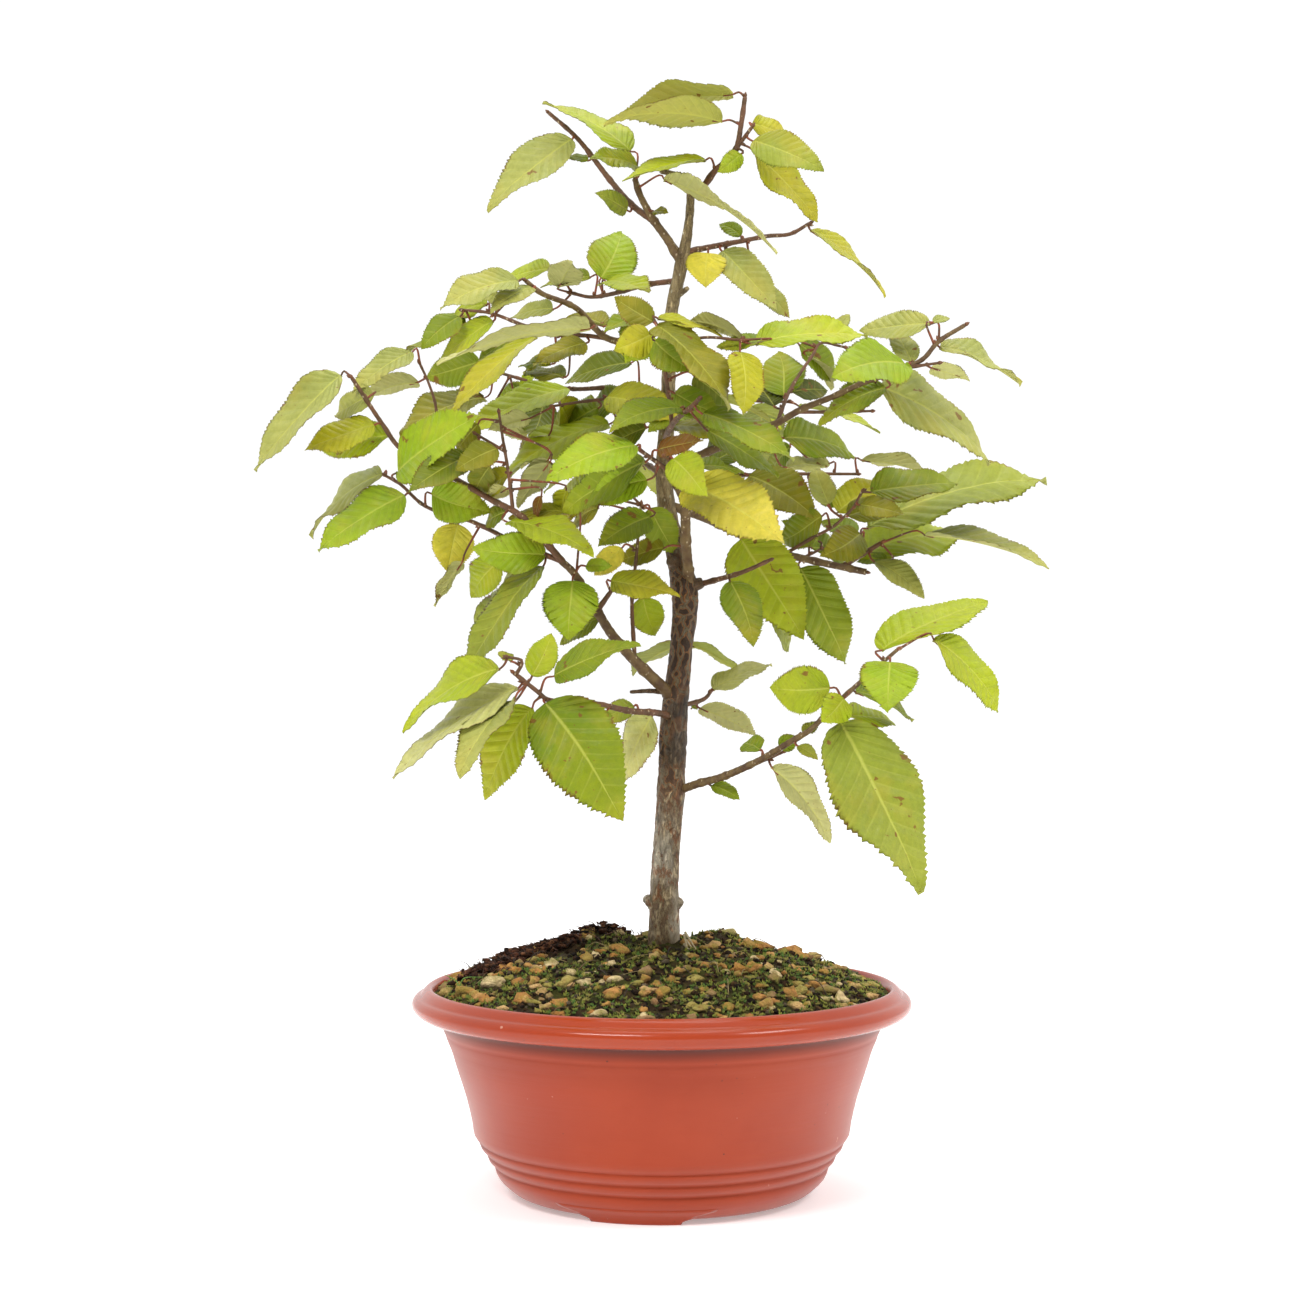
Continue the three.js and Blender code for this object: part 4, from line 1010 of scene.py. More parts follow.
# %% The leaf's grid
LEAF_COLUMNS = 20
ROWS_PER_VEIN = 6
LEAF_VEINS = 11
SMALL_LEAF_VEINS = 7
SMALL_LEAF = 22.0
BLADE_RATIO = 0.55
BLADE_FOLD = 0.16
BLADE_ARCH = 0.05
WIDEST_AT = 0.36
BASE_ROUND = 2.2
TIP_SWELL = 1.15
TIP_DRAW = 0.3
COLUMN_PLACES = [0.0, 0.06, 0.3, 0.6, 0.87, 1.0]
TOOTH_REACH = [0.9, -0.25, 0.35, -0.3, 0.4, -0.55]
TOOTH_LEAST = 0.36
TOOTH_SHARE = 0.021
TOOTH_AHEAD = 0.022
BLADE_THICKNESS = 0.4
BLADE_WELD = 0.004
VEIN_DEPTH = 0.34
USUAL_LENGTH = 45


def half_width(share):
    """Half width of a leaf at a share of its length: round at the base, drawn out at the tip."""
    if share < WIDEST_AT:
        return math.sqrt(max(0.0, 1 - ((WIDEST_AT - share) / WIDEST_AT) ** BASE_ROUND))
    beyond = (share - WIDEST_AT) / (1 - WIDEST_AT)
    return max(0.0, (1 - beyond) * (1 + TIP_SWELL * beyond - TIP_DRAW * beyond * beyond))


def leaf_grid(veins):
    """The flat grid that a leaf with this many vein pairs is shaped from, with its map."""
    grid = mapped_bmesh()
    sheet = grid.loops.layers.uv["UVMap"]
    rows = veins * ROWS_PER_VEIN
    bmesh.ops.create_grid(grid, x_segments=LEAF_COLUMNS, y_segments=rows, size=0.5, calc_uvs=True)
    for face in grid.faces:
        under = face.calc_center_median().x > 0
        face.material_index = 1 if under else 0
        for loop in face.loops:
            side, share = column_place(loop.vert.co.x + 0.5)
            row = (loop.vert.co.y + 0.5) * rows
            loop[sheet].uv = (0.5 + 0.5 * side * share, row / (LEAF_VEINS * ROWS_PER_VEIN))
    return grid


def column_place(column):
    """Which side of the midrib a column is on, and how far out: the second half lies beneath."""
    across = 4 * column - 1 if column <= 0.5 else 3 - 4 * column
    step = abs(across) * (len(COLUMN_PLACES) - 1)
    return (1 if across >= 0 else -1), COLUMN_PLACES[round(step)]


leaf_grids = {veins: leaf_grid(veins) for veins in (LEAF_VEINS, SMALL_LEAF_VEINS)}
print("a leaf has", len(leaf_grids[LEAF_VEINS].faces), "faces")

# %% Shape one leaf
def edge_row(share, row, width, length, teeth):
    """The place of a row's end on the toothed edge, and of its start on the midrib."""
    tooth = TOOTH_REACH[row % ROWS_PER_VEIN] + 0.5 * noise.noise(Vector((row * 0.7, width, 9 * teeth)))
    out = half_width(share) * width / 2
    fade = min(1.0, out / (0.12 * width))
    reach = out + tooth * (TOOTH_LEAST + TOOTH_SHARE * width) * fade * teeth
    along = share * length + max(0.0, tooth) * TOOTH_AHEAD * length * fade * (1 - share)
    start = max(share * length - 0.72 * out, 0.25 * share * length)
    return reach, along, start


def leaf_bends(draw, length):
    """How one leaf waves, twists, sways, curls and cups, and how far its teeth reach on each side."""
    return {
        "wave": draw.uniform(0.5, 1.7) * 0.024 * length,
        "wave_turn": draw.random() * math.tau,
        "twist": draw.uniform(-0.45, 0.45),
        "sway": draw.uniform(-0.05, 0.05) * length,
        "curl": draw.uniform(0.0, 0.35) * length,
        "cup": draw.uniform(-0.1, 0.3),
        "teeth": {side: draw.uniform(0.8, 1.2) for side in (1, -1)},
    }


def blade_rise(leaf, bends, row, side, share, x, y_share):
    """How high the middle of the blade stands there: arched, folded, cupped, pleated and waved."""
    length = (leaf["tip"] - leaf["base"]).length
    arch = BLADE_ARCH * length * math.sin(math.pi * min(1.0, max(0.0, y_share)) ** 0.8)
    cup = bends["cup"] * x * x / max(leaf["width"], 1.0)
    pleat = -math.cos(math.tau * row / ROWS_PER_VEIN) * min(1.0, 4 * share) * (1 - 0.55 * share)
    wave = bends["wave"] * share ** 2 * math.sin(11 * y_share + side * 1.3 + bends["wave_turn"])
    curl = bends["curl"] * max(0.0, y_share - 0.72) ** 1.5
    return arch + BLADE_FOLD * abs(x) - cup + VEIN_DEPTH * pleat * length / USUAL_LENGTH + wave - curl


def shape_leaf(leaf, draw):
    """A leaf as a closed thin body, from its base, tip, upper side and width."""
    length = (leaf["tip"] - leaf["base"]).length
    veins = LEAF_VEINS if length > SMALL_LEAF else SMALL_LEAF_VEINS
    rows = veins * ROWS_PER_VEIN
    ahead = (leaf["tip"] - leaf["base"]).normalized()
    upper = leaf["upper"]
    across = ahead.cross(upper).normalized()
    bends = leaf_bends(draw, length)
    edges = {side: [edge_row(row / rows, row, leaf["width"], length, reach) for row in range(rows + 1)]
             for side, reach in bends["teeth"].items()}
    blade = leaf_grids[veins].copy()
    for vert in blade.verts:
        side, share = column_place(vert.co.x + 0.5)
        row = round((vert.co.y + 0.5) * rows)
        reach, end, start = edges[side][row]
        x = side * share * reach
        y = start + (end - start) * share ** 0.92
        y_share = y / length
        rise = blade_rise(leaf, bends, row, side, share, x, y_share)
        face_side = 1 if vert.co.x <= 0 else -1
        rib = 0.7 * (1 - y_share) + 0.15 if share == 0 else 0.0
        rise += face_side * BLADE_THICKNESS / 2 * (1 - 0.6 * share)
        rise -= rib if face_side < 0 else 0.25 * rib
        turn = bends["twist"] * (y_share - 0.3)
        bent = x + bends["sway"] * math.sin(math.pi * y_share)
        vert.co = (leaf["base"] + ahead * y + across * (bent * math.cos(turn) - rise * math.sin(turn))
                   + upper * (rise * math.cos(turn) + bent * math.sin(turn)))
    bmesh.ops.remove_doubles(blade, verts=blade.verts, dist=BLADE_WELD)
    return blade


print("half width of a leaf at its quarters:", [round(half_width(step / 4), 2) for step in range(5)])

# %% [markdown]
# Each leaf hangs from the wood by a thin stalk. The wood nearest to the leaf's base, as the camera
# sees it, carries it; wood that lies ahead under the blade counts as further away. A leaf looks
# narrower than it is when it is turned about its midrib, so its true width tells how far it turns.

# %% Where a leaf hangs and how it is turned
WOOD_STEPS = 60
AHEAD_COST = 2.0
STALK_HALF = 0.6
SHORTEST_STALK = 2.4


def nearest_wood(paths, base, tip):
    """The place on the wood that carries a leaf, whose base and tip are in the camera's frame."""
    heading = (tip - base).normalized()
    best_far, best = math.inf, None
    for path in paths:
        for step in range(WOOD_STEPS + 1):
            point = path.at(step / WOOD_STEPS)
            off = seen_from(point) - base
            far = off.length + AHEAD_COST * max(0.0, off.dot(heading) + STALK_HALF)
            if far < best_far:
                best_far, best = far, point
    return best


def hang_leaf(paths, leaf):
    """A leaf's root, base, tip, upper side and width, from how it is seen."""
    base_across, base_down, tip_across, tip_down, seen_width, tint, hang = leaf
    root = nearest_wood(paths, Vector((base_across, base_down)), Vector((tip_across, tip_down)))
    lean = hang["depth"]
    base = place(base_across, base_down, root.y + lean / 5)
    tip = place(tip_across, tip_down, root.y + lean)
    middle = (base + tip) / 2
    ahead = (tip - base).normalized()
    length = (tip - base).length
    if (root - base).length < SHORTEST_STALK:
        base = base + ahead * SHORTEST_STALK
    seen = seen_width * (VIEW_DISTANCE + middle.y) / VIEW_FOCAL
    width = max(seen, hang.get("ratio", BLADE_RATIO) * length)
    turn = math.acos(min(1.0, seen / width))
    eye = Vector((VIEW_OFFSET, -VIEW_DISTANCE, VIEW_HEIGHT)) - middle
    facing = (eye - ahead * eye.dot(ahead)).normalized()
    beside = ahead.cross(facing)
    faces = [facing * math.cos(turn) + beside * side * math.sin(turn) for side in (1, -1)]
    if hang.get("under"):
        faces = [-face for face in faces]
    upper = max(faces, key=lambda face: face.z)
    return {"root": root, "base": base, "tip": tip, "upper": upper, "width": width, "tint": tint}


print("a leaf is hung from the nearest of", WOOD_STEPS + 1, "places on each stem")

# %% [markdown]
# ## The branches and their leaves
# This is the plant's own record, branch by branch. A stem is a line of places with its half width
# at both ends, in millimetres. A leaf is its base and tip in the camera's frame, its seen width, its
# tint, and how it hangs: depth is how far its tip lies behind the wood, under shows the lower face,
# and ratio is the width to length of a narrow one. Small and half hidden leaves come last on each
# branch. A tint is two colours, one for most of the blade and one towards its tip.

# %% Tints of the leaves
# The darkest tint is painted shade, for leaves that lie in shadow inside the crown. The deep tint is a deep
# green that is also given to other shaded leaves, so it is partly painted shade.
LEAF_TINTS = {
    "bright": (colour(136, 164, 22), colour(162, 182, 34)),
    "green": (colour(106, 128, 14), colour(140, 150, 22)),
    "lime": (colour(152, 170, 20), colour(178, 186, 34)),
    "deep_and_shaded": (colour(84, 100, 10), colour(114, 122, 16)),
    "olive": (colour(112, 114, 18), colour(142, 132, 24)),
    "yellow": (colour(212, 202, 56), colour(224, 204, 78)),
    "gold": (colour(164, 168, 26), colour(190, 178, 40)),
    "pale": (colour(188, 188, 112), colour(202, 198, 124)),
    "wan": (colour(152, 158, 80), colour(178, 176, 90)),
    "sage": (colour(132, 144, 40), colour(154, 160, 56)),
    "painted_shade": (colour(58, 66, 10), colour(78, 84, 14)),
    "dry": (colour(128, 76, 24), colour(92, 50, 20)),
}
print("tints:", ", ".join(LEAF_TINTS))

# %% Branches at the top
BRANCHES = {
    "branch_leader": {
        "stems": [
            ([(692, 188, -2), (703, 186, -4), (714, 172, -6), (735, 151, -9), (741, 125, -10),
              (745, 97, -10)], (1.4, 0.9)),
            ([(736, 149, -9), (752, 127, -12)], (0.9, 0.7)),
        ],
        "leaves": [
            (733, 94, 620, 114, 28, "gold", {"under": True, "depth": 16}),
            (722, 121, 603, 119, 30, "gold", {"under": True, "depth": -16}),
            (705, 160, 622, 180, 12, "lime", {"depth": -12}),
            (753, 141, 824, 169, 36, "sage", {"depth": -14}),
            (756, 155, 819, 221, 34, "gold", {"depth": 8}),
            (752, 124, 795, 142, 20, "gold", {"depth": 16}),
            (741, 154, 717, 172, 20, "bright", {"depth": -6}),
        ],
    },
    "branch_top_left": {
        "stems": [
            ([(681, 262, -2), (668, 240, 0), (655, 222, 2), (640, 195, 3), (635, 179, 4)], (2, 1.2)),
            ([(655, 222, 2), (632, 205, 8), (610, 180, 14), (577, 138, 20), (549, 113, 22)], (1.4, 0.8)),
        ],
        "leaves": [
            (572, 139, 485, 208, 40, "wan", {"depth": -8}),
            (630, 151, 543, 102, 20, "lime", {"depth": 16}),
            (638, 167, 590, 158, 19, "green", {"depth": -18}),
            (627, 210, 596, 192, 20, "sage", {"depth": -14}),
            (665, 180, 779, 251, 12, "pale", {"under": True, "depth": -44, "ratio": 0.3}),
            (588, 160, 567, 156, 8, "green", {"depth": 6}),
            (650, 211, 668, 212, 8, "olive", {"depth": -8}),
        ],
    },
    "branch_top_right": {
        "stems": [
            ([(686, 252, -2), (715, 246, 4), (742, 241, 10), (768, 236, 14), (790, 234, 16),
              (810, 223, 18)], (1.3, 0.7)),
        ],
        "leaves": [
            (708, 253, 706, 287, 40, "yellow", {"depth": -10}),
            (722, 251, 778, 309, 36, "wan", {"depth": -10}),
            (758, 290, 790, 318, 20, "wan", {"depth": 6}),
            (811, 230, 888, 294, 12, "gold", {"depth": 6}),
            (741, 236, 719, 224, 14, "green", {"depth": 8}),
            (727, 253, 744, 270, 26, "yellow", {"depth": 20}),
        ],
    },
}
print("branches so far:", len(BRANCHES))

# %% [markdown]
# Most of the crown is on the left. The long branch is the heaviest: it leaves the trunk low down,
# climbs away from it and forks again and again. The lower one beside it stays short. The three
# others leave the trunk higher and run nearly level, as the side branches of a hornbeam do.

# %% Branches on the left
BRANCHES |= {
    "branch_left_thin": {
        "stems": [
            ([(674, 281, -1), (645, 285, 10), (616, 293, 22), (590, 297, 34), (572, 293, 40)], (1.2, 0.7)),
        ],
        "leaves": [
            (601, 278, 622, 231, 50, "bright", {"depth": 24}),
            (607, 282, 649, 292, 20, "lime", {"depth": -34}),
            (559, 287, 573, 262, 34, "pale", {"under": True, "depth": -30}),
            (549, 269, 503, 280, 16, "lime", {"depth": 20}),
            (590, 277, 540, 287, 14, "green", {"depth": 8}),
            (553, 309, 510, 318, 16, "wan", {"depth": 14}),
        ],
    },
    "branch_left_upper": {
        "stems": [
            ([(668, 352, 2), (640, 345, -10), (605, 337, -24), (576, 308, -36), (541, 293, -46),
              (526, 281, -50)], (1.6, 0.9)),
            ([(640, 345, -10), (590, 336, -8), (557, 334, -4), (526, 326, 2), (490, 313, 8),
              (463, 310, 12)], (1, 0.6)),
            ([(640, 345, -10), (641, 332, -16), (644, 320, -20)], (0.9, 0.6)),
        ],
        "leaves": [
            (524, 279, 440, 308, 28, "wan", {"depth": -10}),
            (590, 328, 436, 362, 16, "pale", {"under": True, "depth": -20}),
            (541, 333, 448, 412, 20, "gold", {"depth": -6}),
            (493, 321, 438, 360, 22, "lime", {"depth": 8}),
            (464, 313, 421, 348, 26, "green", {"depth": -8}),
            (466, 326, 405, 352, 20, "green", {"depth": 32}),
            (516, 340, 478, 362, 20, "green", {"depth": 18}),
            (586, 343, 533, 364, 22, "olive", {"depth": -10}),
            (642, 330, 627, 362, 42, "lime", {"depth": -16}),
            (560, 352, 522, 372, 14, "gold", {"depth": 12}),
            (642, 318, 618, 300, 18, "olive", {"depth": 8}),
            (640, 316, 604, 330, 14, "green", {"depth": -16}),
            (533, 288, 490, 311, 18, "wan", {"depth": -14}),
            (550, 364, 518, 366, 10, "green", {"depth": 10}),
            (563, 377, 523, 372, 15, "deep_and_shaded", {"depth": 20}),
            (500, 300, 470, 286, 16, "wan", {"depth": -12}),
            (486, 305, 452, 318, 18, "lime", {"depth": 20}),
            (604, 326, 566, 318, 14, "olive", {"depth": 22}),
        ],
    },
    "branch_left_middle": {
        "stems": [
            ([(667, 402, 3), (645, 394, 16), (610, 388, 32), (574, 389, 44), (545, 385, 54),
              (493, 371, 64)], (1.3, 0.6)),
            ([(645, 394, 16), (612, 398, 12), (580, 402, 8), (554, 406, 6)], (0.9, 0.5)),
        ],
        "leaves": [
            (545, 396, 530, 438, 38, "deep_and_shaded", {"depth": 30}),
            (622, 402, 578, 418, 30, "green", {"depth": 34}),
            (607, 397, 680, 419, 38, "gold", {"depth": -22}),
            (569, 389, 467, 431, 28, "lime", {"depth": -14}),
            (480, 362, 425, 377, 34, "green", {"depth": 14}),
            (484, 398, 399, 433, 30, "olive", {"depth": -26}),
            (530, 418, 488, 430, 18, "pale", {"under": True, "depth": 8}),
            (609, 424, 498, 477, 30, "lime", {"depth": -8}),
            (631, 363, 564, 382, 24, "deep_and_shaded", {"depth": 18}),
            (598, 408, 545, 440, 32, "green", {"depth": 36}),
            (530, 392, 490, 412, 26, "green", {"depth": 20}),
            (646, 428, 604, 448, 26, "deep_and_shaded", {"depth": 18}),
            (548, 436, 520, 466, 24, "pale", {"under": True, "depth": 24}),
            (500, 412, 526, 442, 28, "pale", {"under": True, "depth": 18}),
            (560, 404, 570, 427, 28, "gold", {"depth": 34}),
            (652, 428, 746, 437, 18, "gold", {"depth": -20}),
            (702, 398, 648, 430, 30, "green", {"depth": -14}),
            (520, 388, 540, 372, 12, "lime", {"depth": -6}),
        ],
    },
    "branch_left_long": {
        "stems": [
            ([(676, 700, 1), (655, 680, -6), (636, 662, -10), (613, 636, -14), (597, 611, -16),
              (573, 572, -20), (561, 561, -22)], (2.6, 1.4)),
            ([(563, 562, -22), (522, 517, -24), (490, 499, -14), (440, 470, 0), (400, 448, 2),
              (383, 425, -2), (352, 378, -12)], (1.4, 0.8)),
            ([(561, 561, -22), (520, 545, -14), (473, 522, -6), (425, 506, 2), (400, 484, 6),
              (386, 476, 8)], (1.1, 0.6)),
            ([(513, 511, -21), (509, 476, -20), (503, 440, -18), (499, 413, -16)], (0.8, 0.5)),
            ([(506, 452, -19), (476, 434, -14)], (0.7, 0.5)),
            ([(424, 461, 1), (434, 440, 8), (436, 408, 14), (429, 384, 14), (420, 364, 12)], (0.7, 0.5)),
            ([(597, 611, -16), (614, 587, -20)], (1.3, 0.8)),
            ([(635, 662, -10), (632, 600, -9), (636, 560, -12), (641, 505, -14)], (0.9, 0.5)),
        ],
        "leaves": [
            (468, 456, 408, 492, 34, "deep_and_shaded", {"depth": -14}),
            (502, 446, 455, 470, 28, "olive", {"depth": -10}),
            (341, 375, 254, 470, 35, "wan", {"depth": 4}),
            (380, 423, 304, 448, 30, "gold", {"depth": -8}),
            (389, 436, 318, 448, 32, "lime", {"depth": 14}),
            (373, 394, 334, 415, 24, "wan", {"depth": 20}),
            (398, 472, 478, 414, 46, "bright", {"depth": -34}),
            (432, 494, 492, 512, 42, "bright", {"depth": -12}),
            (410, 492, 317, 549, 40, "bright", {"depth": -8}),
            (383, 474, 307, 533, 20, "wan", {"depth": 24}),
            (418, 382, 365, 398, 22, "pale", {"under": True, "depth": 14}),
            (412, 352, 352, 392, 24, "wan", {"depth": -12}),
            (458, 524, 447, 572, 42, "yellow", {"depth": 6}),
            (462, 562, 434, 606, 14, "pale", {"under": True, "depth": 6}),
            (500, 560, 472, 598, 34, "lime", {"depth": 22}),
            (552, 556, 472, 548, 40, "bright", {"depth": 2}),
            (508, 522, 594, 554, 28, "lime", {"depth": -22}),
            (611, 581, 680, 594, 30, "gold", {"depth": -10}),
            (643, 597, 656, 636, 34, "lime", {"depth": 14}),
            (573, 575, 568, 640, 56, "bright", {"depth": -10}),
            (543, 566, 465, 672, 28, "sage", {"depth": -6}),
            (532, 574, 470, 634, 24, "sage", {"depth": 34}),
            (580, 498, 550, 526, 24, "yellow", {"depth": 10}),
            (650, 517, 598, 546, 34, "green", {"depth": -16}),
            (650, 508, 676, 554, 34, "green", {"depth": 8}),
            (549, 463, 516, 506, 24, "pale", {"under": True, "depth": 6}),
            (600, 470, 560, 502, 30, "lime", {"depth": 44}),
            (600, 618, 560, 645, 22, "sage", {"depth": 14}),
            (586, 566, 612, 566, 14, "bright", {"depth": -6}),
            (622, 548, 594, 576, 24, "yellow", {"depth": 8}),
            (478, 424, 456, 452, 24, "olive", {"depth": 14}),
            (490, 466, 474, 496, 26, "deep_and_shaded", {"depth": 16}),
            (548, 460, 524, 500, 28, "pale", {"under": True, "depth": 16}),
            (541, 496, 536, 522, 9, "dry", {"depth": 4}),
            (572, 513, 508, 517, 13, "olive", {"depth": 10}),
            (598, 508, 568, 530, 18, "olive", {"depth": 22}),
            (506, 512, 484, 524, 18, "deep_and_shaded", {"depth": 16}),
            (510, 474, 480, 492, 22, "gold", {"depth": 18}),
            (512, 486, 488, 500, 16, "pale", {"under": True, "depth": 10}),
            (566, 490, 560, 527, 22, "gold", {"depth": 16}),
        ],
    },
    "branch_lower_left": {
        "stems": [
            ([(673, 718, 1), (658, 713, -10), (630, 711, -26), (602, 705, -40), (570, 700, -54),
              (548, 700, -62), (538, 692, -66), (514, 673, -70)], (1.4, 0.8)),
            ([(516, 675, -70), (522, 661, -72), (508, 657, -73)], (0.8, 0.5)),
        ],
        "leaves": [
            (499, 669, 400, 729, 33, "lime", {"depth": 14}),
            (518, 688, 391, 776, 27, "pale", {"depth": 4}),
            (514, 700, 457, 774, 25, "wan", {"depth": -30}),
            (532, 708, 484, 800, 44, "lime", {"depth": 12}),
            (545, 703, 622, 821, 85, "green", {"depth": -14}),
            (532, 676, 552, 633, 30, "lime", {"depth": 12}),
            (554, 676, 639, 642, 33, "green", {"depth": -16}),
            (652, 716, 622, 781, 36, "pale", {"depth": 20}),
            (514, 702, 491, 721, 10, "wan", {"depth": -6}),
            (516, 664, 498, 652, 9, "sage", {"depth": 6}),
            (610, 706, 594, 732, 20, "green", {"depth": -8}),
            (634, 706, 602, 722, 22, "sage", {"depth": 10}),
        ],
    },
}
print("branches so far:", len(BRANCHES))

# %% [markdown]
# On the right the branches stand further apart. The low one rises in one sweep, and carries a very
# large leaf that hangs down towards the soil. The upper one reaches up, out and forwards, and the
# level one lies furthest back.

# %% Branches on the right
BRANCHES |= {
    "branch_low_right": {
        "stems": [
            ([(680, 790, 2), (700, 783, -8), (722, 777, -18), (760, 760, -36), (790, 742, -50),
              (810, 730, -58), (835, 705, -66), (858, 684, -70), (897, 650, -72)], (1.7, 0.7)),
            ([(742, 770, -30), (783, 752, -38)], (0.8, 0.6)),
        ],
        "leaves": [
            (882, 650, 988, 600, 35, "lime", {"depth": 34}),
            (934, 640, 1002, 711, 30, "lime", {"depth": 14}),
            (890, 662, 888, 711, 58, "bright", {"depth": -18}),
            (830, 688, 769, 688, 48, "lime", {"depth": 12}),
            (848, 694, 822, 722, 33, "lime", {"depth": -6}),
            (840, 722, 924, 892, 86, "sage", {"depth": -18}),
            (772, 767, 832, 842, 28, "pale", {"under": True, "depth": -14}),
            (848, 716, 896, 722, 20, "lime", {"depth": 24}),
            (706, 783, 740, 799, 14, "green", {"depth": -6}),
            (856, 692, 914, 720, 12, "green", {"depth": 20}),
            (798, 736, 819, 722, 12, "sage", {"depth": 4}),
            (798, 746, 818, 759, 12, "sage", {"depth": -6}),
            (760, 750, 742, 744, 20, "green", {"depth": 20}),
            (774, 750, 798, 737, 18, "green", {"depth": 4}),
        ],
    },
    "branch_middle_right": {
        "stems": [
            ([(672, 506, 1), (705, 518, 8), (735, 532, 14), (775, 551, 20), (810, 560, 24),
              (866, 572, 26)], (1.9, 1.4)),
            ([(785, 554, 21), (812, 538, 12), (834, 526, 4), (853, 508, -2)], (0.8, 0.5)),
            ([(803, 558, 24), (821, 549, 30)], (0.7, 0.5)),
            ([(843, 566, 26), (881, 543, 27)], (1.2, 0.9)),
            ([(850, 562, 26), (862, 543, 24)], (0.7, 0.6)),
            ([(853, 508, -2), (862, 492, -6)], (0.5, 0.5)),
        ],
        "leaves": [
            (829, 504, 814, 465, 25, "wan", {"depth": 10}),
            (871, 492, 958, 482, 34, "green", {"depth": 12}),
            (868, 528, 1046, 475, 44, "sage", {"depth": 6}),
            (860, 556, 966, 532, 44, "lime", {"depth": 38}),
            (925, 535, 1050, 565, 12, "wan", {"depth": -16}),
            (875, 562, 925, 597, 22, "wan", {"depth": -8}),
            (860, 534, 821, 556, 36, "olive", {"depth": -24}),
            (860, 505, 904, 514, 22, "olive", {"depth": -12}),
            (741, 539, 804, 638, 68, "lime", {"depth": -14}),
            (800, 568, 848, 664, 52, "green", {"depth": 10}),
            (818, 541, 782, 520, 20, "green", {"depth": -8}),
            (765, 606, 790, 652, 16, "sage", {"depth": 24}),
            (887, 560, 856, 561, 12, "green", {"depth": 8}),
            (856, 534, 821, 521, 18, "green", {"depth": 18}),
            (848, 516, 892, 504, 26, "olive", {"depth": 14}),
            (822, 516, 778, 542, 34, "green", {"depth": 22}),
            (812, 548, 846, 560, 22, "green", {"depth": 26}),
        ],
    },
    "branch_upper_right": {
        "stems": [
            ([(665, 474, 2), (700, 455, -10), (740, 440, -20), (777, 423, -28), (802, 409, -33),
              (832, 397, -38), (863, 383, -42), (897, 371, -45), (923, 359, -48),
              (938, 342, -49), (965, 325, -50)], (1.7, 0.8)),
            ([(904, 368, -46), (938, 363, -52)], (0.8, 0.5)),
            ([(795, 412, -32), (838, 412, -26), (871, 411, -20)], (0.8, 0.5)),
            ([(777, 423, -28), (790, 390, -18), (812, 356, -8), (821, 343, -4), (844, 347, -2)], (0.8, 0.5)),
        ],
        "leaves": [
            (886, 388, 818, 424, 28, "green", {"depth": 8}),
            (930, 324, 859, 330, 26, "wan", {"depth": 12}),
            (905, 364, 832, 376, 46, "bright", {"depth": -32}),
            (912, 362, 893, 327, 24, "wan", {"depth": 14}),
            (940, 347, 1022, 383, 16, "wan", {"depth": 14}),
            (926, 366, 970, 380, 18, "pale", {"under": True, "depth": 10}),
            (880, 387, 994, 460, 45, "wan", {"depth": 26}),
            (784, 396, 778, 351, 44, "green", {"depth": 26}),
            (774, 406, 750, 376, 28, "painted_shade", {"depth": 28}),
            (784, 438, 857, 455, 34, "green", {"depth": 28}),
            (933, 322, 950, 318, 8, "wan", {"depth": 4}),
            (836, 330, 850, 314, 12, "wan", {"depth": 4}),
            (787, 467, 830, 464, 14, "pale", {"depth": 10}),
            (862, 405, 838, 392, 16, "green", {"depth": 14}),
            (792, 392, 828, 390, 22, "painted_shade", {"depth": 16}),
            (800, 345, 838, 380, 26, "green", {"depth": 20}),
            (806, 356, 832, 390, 14, "pale", {"under": True, "depth": 24}),
            (726, 424, 690, 396, 32, "deep_and_shaded", {"depth": 24}),
            (740, 430, 706, 452, 24, "deep_and_shaded", {"depth": 30}),
        ],
    },
    "branch_level_right": {
        "stems": [
            ([(666, 486, 1), (700, 480, 20), (730, 476, 32), (791, 474, 44), (857, 474, 52)], (1.1, 0.6)),
        ],
        "leaves": [
            (838, 512, 881, 478, 34, "gold", {"depth": 24}),
            (749, 476, 817, 517, 44, "olive", {"depth": -26}),
            (862, 460, 934, 476, 16, "pale", {"under": True, "depth": 16}),
            (810, 480, 842, 506, 24, "green", {"depth": 14}),
            (700, 466, 746, 472, 16, "green", {"depth": 18}),
            (790, 447, 768, 474, 24, "green", {"depth": 24}),
            (830, 463, 786, 470, 14, "pale", {"under": True, "depth": 8}),
            (712, 463, 748, 448, 22, "deep_and_shaded", {"depth": 20}),
        ],
    },
}
print("branches so far:", len(BRANCHES))

# %% [markdown]
# What grows towards the camera fills the middle of the crown: a branch high on the trunk, and a
# short stout stem that comes out of a knot. Two small twigs end the list.

